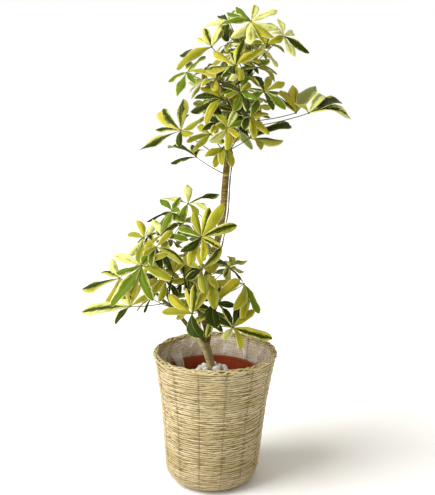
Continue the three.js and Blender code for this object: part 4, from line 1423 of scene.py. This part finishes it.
def leafFinish():
    leaf = Finish("variegatedLeaf", Specular_IOR_Level=0.07)
    spot = leaf.add("ShaderNodeUVMap", {"uv_map": "leafMap"})
    split = (leaf.axis("X", spot) - 0.5) * 2.0
    along = leaf.axis("Y", spot)
    tone, deep, seed, stalk, under, paleness = [
        leaf.attribute("leaf" + word) for word in ("Tone", "Deep", "Seed", "Stalk", "Under", "Pale")]
    # How far the green reaches from the midrib, with uneven, feathered edges.
    side = abs(split + (seed - 0.5) * (1.0 - tone) * 1.3)
    broad = leaf.noise(leaf.xyz(split, along * 2.6, seed * 37.0), 1.4, 2.0, 0.5)
    fine = leaf.xyz(split * 4.0, (along - abs(split) * 0.3) * 12.0, seed * 53.0)
    feather = leaf.noise(fine, 1.0, 3.0, 0.6)
    ends = ((along - 0.52) * 1.9) ** 4.0 * 0.22
    spread = tone * 1.05 + (broad - 0.5) * 0.9 + (feather - 0.5) * 0.55 - ends - side
    patch = spread.over(0.02, 0.04)
    halo = (spread + 0.2 + (feather - 0.5) * 0.4).over(0.05, 0.14) * (deep * 0.6 + 0.25)

    golden = leaf.blend(seed.over(0.5, 0.7), (0.47, 0.41, 0.020), (0.30, 0.29, 0.012))
    pale = leaf.blend(paleness, golden, (0.68, 0.70, 0.24))
    tinted = leaf.blend(broad.over(0.5, 0.3) * 0.8, pale, leaf.blend(0.35, pale, (0.20, 0.20, 0.008)))
    ground = leaf.blend(abs(split).over(0.84, 0.2) * 0.55, tinted, (0.84, 0.84, 0.50))
    soft = leaf.blend(deep.over(0.3, 0.3), (0.24, 0.25, 0.012), (0.095, 0.155, 0.004))
    dark = leaf.blend(deep.over(0.75, 0.3), soft, (0.014, 0.026, 0.001))
    speckle = leaf.blend(feather.over(0.5, 0.3) * 0.5, dark, leaf.blend(0.3, dark, soft))
    upper = leaf.blend(patch, leaf.blend(halo, ground, (0.17, 0.18, 0.008)), speckle)
    rib = (1 - abs(split) / 0.07).held() * (1 - along * 0.7)
    veins = ((along - abs(split) * 0.2) * 60.0).sine() * 0.5 + 0.5
    veined = leaf.blend((veins ** 5.0) * 0.13, upper, (0.22, 0.24, 0.03))
    ribbed = leaf.blend(rib * 0.5, veined, (0.45, 0.45, 0.10))
    lower = leaf.blend(patch * 0.75, leaf.blend(0.4, pale, (0.38, 0.41, 0.15)), (0.13, 0.17, 0.05))
    bladeColour = leaf.blend(under.maths("MAXIMUM", under, deep * -1.0) * 0.85, ribbed, lower)
    leaf.wire("Base Color", leaf.blend(stalk, bladeColour, (0.060, 0.075, 0.016)))
    leaf.bump(veins * 0.4 * (1 - stalk) + rib * -1.2 + feather * 0.3, 0.35, 0.0007)
    leaf.wire("Roughness", under * 0.15 + 0.36 + feather * 0.15)
    return leaf.material


inner = {
    "seed": 31,
    "clear": 3.5,          # kept free round a leaflet that isn't in the CAD model
    "apart": 9.0,          # and between two of those
    "sheetsWithin": 180,   # leaves whose hubs lie further apart than this can't cross
    "gap": (58, 115),      # degrees between leaflets that have another one between them
    "fillAt": 0.4,         # where in the gap the new leaflet is at least
    "fillStray": 0.2,
    "fillReach": 0.62,
    "fillSeed": 900,
    "tries": 60,
    "stalk": (22, 66),
    "stalkHalf": 1.2,
    "sag": 4,              # how far a petiole's middle hangs
    "bulge": 5,            # and how far it lies outward
    "faceOut": 0.7,
    "faceFront": 0.35,
    "leaflets": (5, 8),    # the least, and one more than the most
    "stray": 0.2,          # of the angle between leaflets
    "rise": (12, 52),
    "reach": (40, 56),
    "droop": (0.1, 0.45),
    "leastLeaflets": 3,
    "letters": ["kokod", "yoyky", "okgkd", "dykoy"],
    "lightLetters": ["ygoyp", "gpyog"],  # near the top
    "lightAbove": 960,
    "fronds": [("tall", 850, 1030, 16), ("fork", 920, 980, 4), ("leftUpper", 470, 610, 9),
               ("front", 420, 545, 8), ("right", 400, 470, 3), ("left", 440, 480, 2)],
}

# Shares of a leaflet's length, and how broad it is there.
bladeOutline = [(0.3, 0.55), (0.45, 0.9), (0.6, 1.0), (0.78, 0.9), (0.92, 0.6), (1.0, 0.2)]


class Crowd:
    # The room that leaves and wood already take.
    def __init__(self):
        self.surface = surfaceOf(*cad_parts.values())
        self.added = []
        self.sheets = []

    def free(self, points):
        near = any(self.surface.find_nearest(p * mm)[3] < inner["clear"] * mm for p in points)
        return not near and not any((p - q).length < inner["apart"] for p in points for q in self.added)

    def take(self, hub, place):
        # Keeps the room of a new leaflet, or says that another leaf is there.
        run, across, out, length = place
        half = leafletHalf(length)
        ribs = [ribPoint(hub, place, t) for t in (0.45, 0.7, 1.0)]
        sides = [rib + across * u * half for rib in ribs[:2] for u in (-0.9, 0.9)]
        if not self.free(ribs + sides):
            return False
        self.added += ribs
        return True

    def crossed(self, hub, sheet):
        # Whether a leaflet or petiole would pass through one of another leaf.
        if sheet.overlap(self.surface):
            return True
        return any((hub - other).length < inner["sheetsWithin"] and sheet.overlap(placed)
                   for other, placed in self.sheets)


def sheetAlong(points, halves, across):
    # A strip that stands for a leaflet or petiole where only its room matters.
    rows = [[p + across * u * half for u in (-1, 0, 1)] for p, half in zip(points, halves)]
    corners = [3 * i + j for i in range(len(rows) - 1) for j in (0, 1)]
    faces = [(a, a + 1, a + 4, a + 3) for a in corners]
    return BVHTree.FromPolygons([p * mm for row in rows for p in row], faces)


def leafletSheet(hub, place):
    run, across, out, length = place
    half = leafletHalf(length)
    ribs = [ribPoint(hub, place, t) for t, _ in bladeOutline]
    return sheetAlong(ribs, [half * share for _, share in bladeOutline], across)


def petioleSheet(petiole):
    root, _, hub = petiole
    points = [petiolePoint(petiole, 0.4 + 0.1 * i) for i in range(7)]
    return sheetAlong(points, [inner["stalkHalf"]] * 7, (hub - root).cross(Vector((0, 0, 1))).normalized())


def fillers(leaf, rows, crowd):
    # Leaflets for the wide gaps of a leaf, where nothing else is in the way.
    hub = Vector(leaf["hub"])
    ordered = sorted((angle % 360, reach, letter) for (angle, reach), letter in rows)
    least, most = inner["gap"]
    added = []
    for (angle, reach, letter), (after, afterReach, _) in zip(ordered, ordered[1:] + ordered[:1]):
        gap = (after - angle) % 360
        if least < gap < most:
            between = angle + gap * (inner["fillAt"] + inner["fillStray"] * chance(angle))
            short = inner["fillReach"] * (reach + afterReach) / 2
            place = leafletPlace(leaf, (between, short), inner["fillSeed"] + len(crowd.added), (0, 0))
            if crowd.take(hub, place):
                added.append((place, letter))
                crowd.sheets.append((hub, leafletSheet(hub, place)))
    return added


def innerFrond(draw, stem, low, high, crowd):
    # A small leaf within the crown, as its petiole and its leaflets' places and letters.
    root = stemPoint(stems[stem], draw.uniform(low, high))
    turn = draw.uniform(0, 2 * math.pi)
    outward = Vector((math.cos(turn), math.sin(turn), 0))
    hub = root + outward * draw.uniform(*inner["stalk"]) + Vector((0, 0, draw.uniform(*inner["rise"])))
    face = (outward * inner["faceOut"] + Vector((0, -inner["faceFront"], 1))).normalized()
    side = face.cross(Vector((0, 1, 0.2))).normalized()
    ahead = side.cross(face)
    count = draw.randrange(*inner["leaflets"])
    letters = draw.choice(inner["lightLetters" if hub.z > inner["lightAbove"] else "letters"])
    start = draw.uniform(0, 1)
    middle = root.lerp(hub, 0.5) + Vector((0, 0, -inner["sag"])) + outward * inner["bulge"]
    petiole = (root, middle, hub)
    stalk = petioleSheet(petiole)
    if not crowd.free([hub, middle.lerp(hub, 0.5)]) or crowd.crossed(hub, stalk):
        return None
    rows = []
    sheets = [(hub, stalk)]
    for k in range(count):
        angle = 2 * math.pi * (k + start + inner["stray"] * draw.random()) / count
        level = side * math.cos(angle) + ahead * math.sin(angle)
        run = (level - face * draw.uniform(*inner["droop"])).normalized()
        across = run.cross(face).normalized()
        place = (run, across, across.cross(run), draw.uniform(*inner["reach"]))
        sheet = leafletSheet(hub, place)
        if not crowd.crossed(hub, sheet) and crowd.take(hub, place):
            rows.append((place, letters[k % len(letters)]))
            sheets.append((hub, sheet))
    if len(rows) < inner["leastLeaflets"]:
        return None
    crowd.sheets += sheets
    return petiole, rows


def leafValues(hub, rows):
    # What each leaflet's point tells the tree, from the leaflet's place and letter.
    values = {"leaf" + word: [] for word in ("Turn", "Size", "Kind", "Tone", "Deep", "Pale", "Seed")}
    for k, ((run, across, out, length), letter) in enumerate(rows):
        number = 10 * hub.x + 7 * hub.z + k
        half = leafletHalf(length) * leafWidths.get(letter, 1)
        tone, deep, pale = leafTones[letter]
        turn = tuple(Matrix((across, run, out)).transposed().to_euler("XYZ"))
        size = (half * mm, length * mm, length * mm)
        kind = int(chance(number + 5) * len(blade["shapes"]))
        tone += blade["toneStray"] * (chance(number + 7) - 0.5)
        told = (turn, size, kind, tone, deep, pale, chance(number + 3))
        for column, value in zip(values.values(), told):
            column.append(value)
    return values


def makeLeaves():
    shapes = bpy.data.collections.new("leafletShapes")
    for i, row in enumerate(blade["shapes"]):
        shapes.objects.link(leafletShape("leafletShape%d" % i, *row))
    tree = palmateTree()
    common = {"Petiole Radius": blade["petioleRadius"] * mm, "Hub Radius": blade["hubRadius"] * mm,
              "Leaflets": shapes, "Material": leafFinish()}
    crowd = Crowd()

    def grown(name, petiole, rows, *nodes):
        root, middle, hub = petiole
        host = pathHost(name + "Points", [[hub]] * len(rows), leafValues(hub, rows))
        piece = grow(name, host, tree, {"Root": root * mm, "Bend": middle * mm, "Hub": hub * mm, **common})
        settle(piece, None, "variegated_leaf", *nodes)

    index = count = extra = 0
    for word, leaves in leafTables.items():
        for number, (on, start, hub, face, tones, *leaflets) in enumerate(leaves):
            leaf = {"on": on, "from": start, "hub": hub, "face": face}
            node = "%s_leaf_%02d" % (word, number + 1)
            surface = surfaceOf(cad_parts[node])
            index += 1
            places = [chosenPlace(leaf, leaflet, 50 * index + k, surface)
                      for k, leaflet in enumerate(leaflets)]
            letters = [tones[k % len(tones)] for k in range(len(leaflets))]
            rows = [(place, letter) for place, letter in zip(places, letters) if place]
            kept = [(leaflet, letter) for leaflet, letter, place in zip(leaflets, letters, places) if place]
            more = fillers(leaf, kept, crowd)
            count += len(rows)
            extra += len(more)
            grown("%sLeaf%02d" % (word, number + 1), chosenPetiole(leaf, surface), rows + more, node)
    print("leaves:", index, "leaflets:", count, "and between them:", extra)

    draw = random.Random(inner["seed"])
    small = 0
    for stem, low, high, wanted in inner["fronds"]:
        goal = small + wanted
        for _ in range(wanted * inner["tries"]):
            frond = innerFrond(draw, stem, low, high, crowd) if small < goal else None
            if frond:
                small += 1
                grown("innerLeaf%02d" % small, *frond)
    print("small inner leaves:", small)


makeView()
makeBasket()
makeFilm()
makePot()
makePebbles()
makeStems()
makeLeaves()
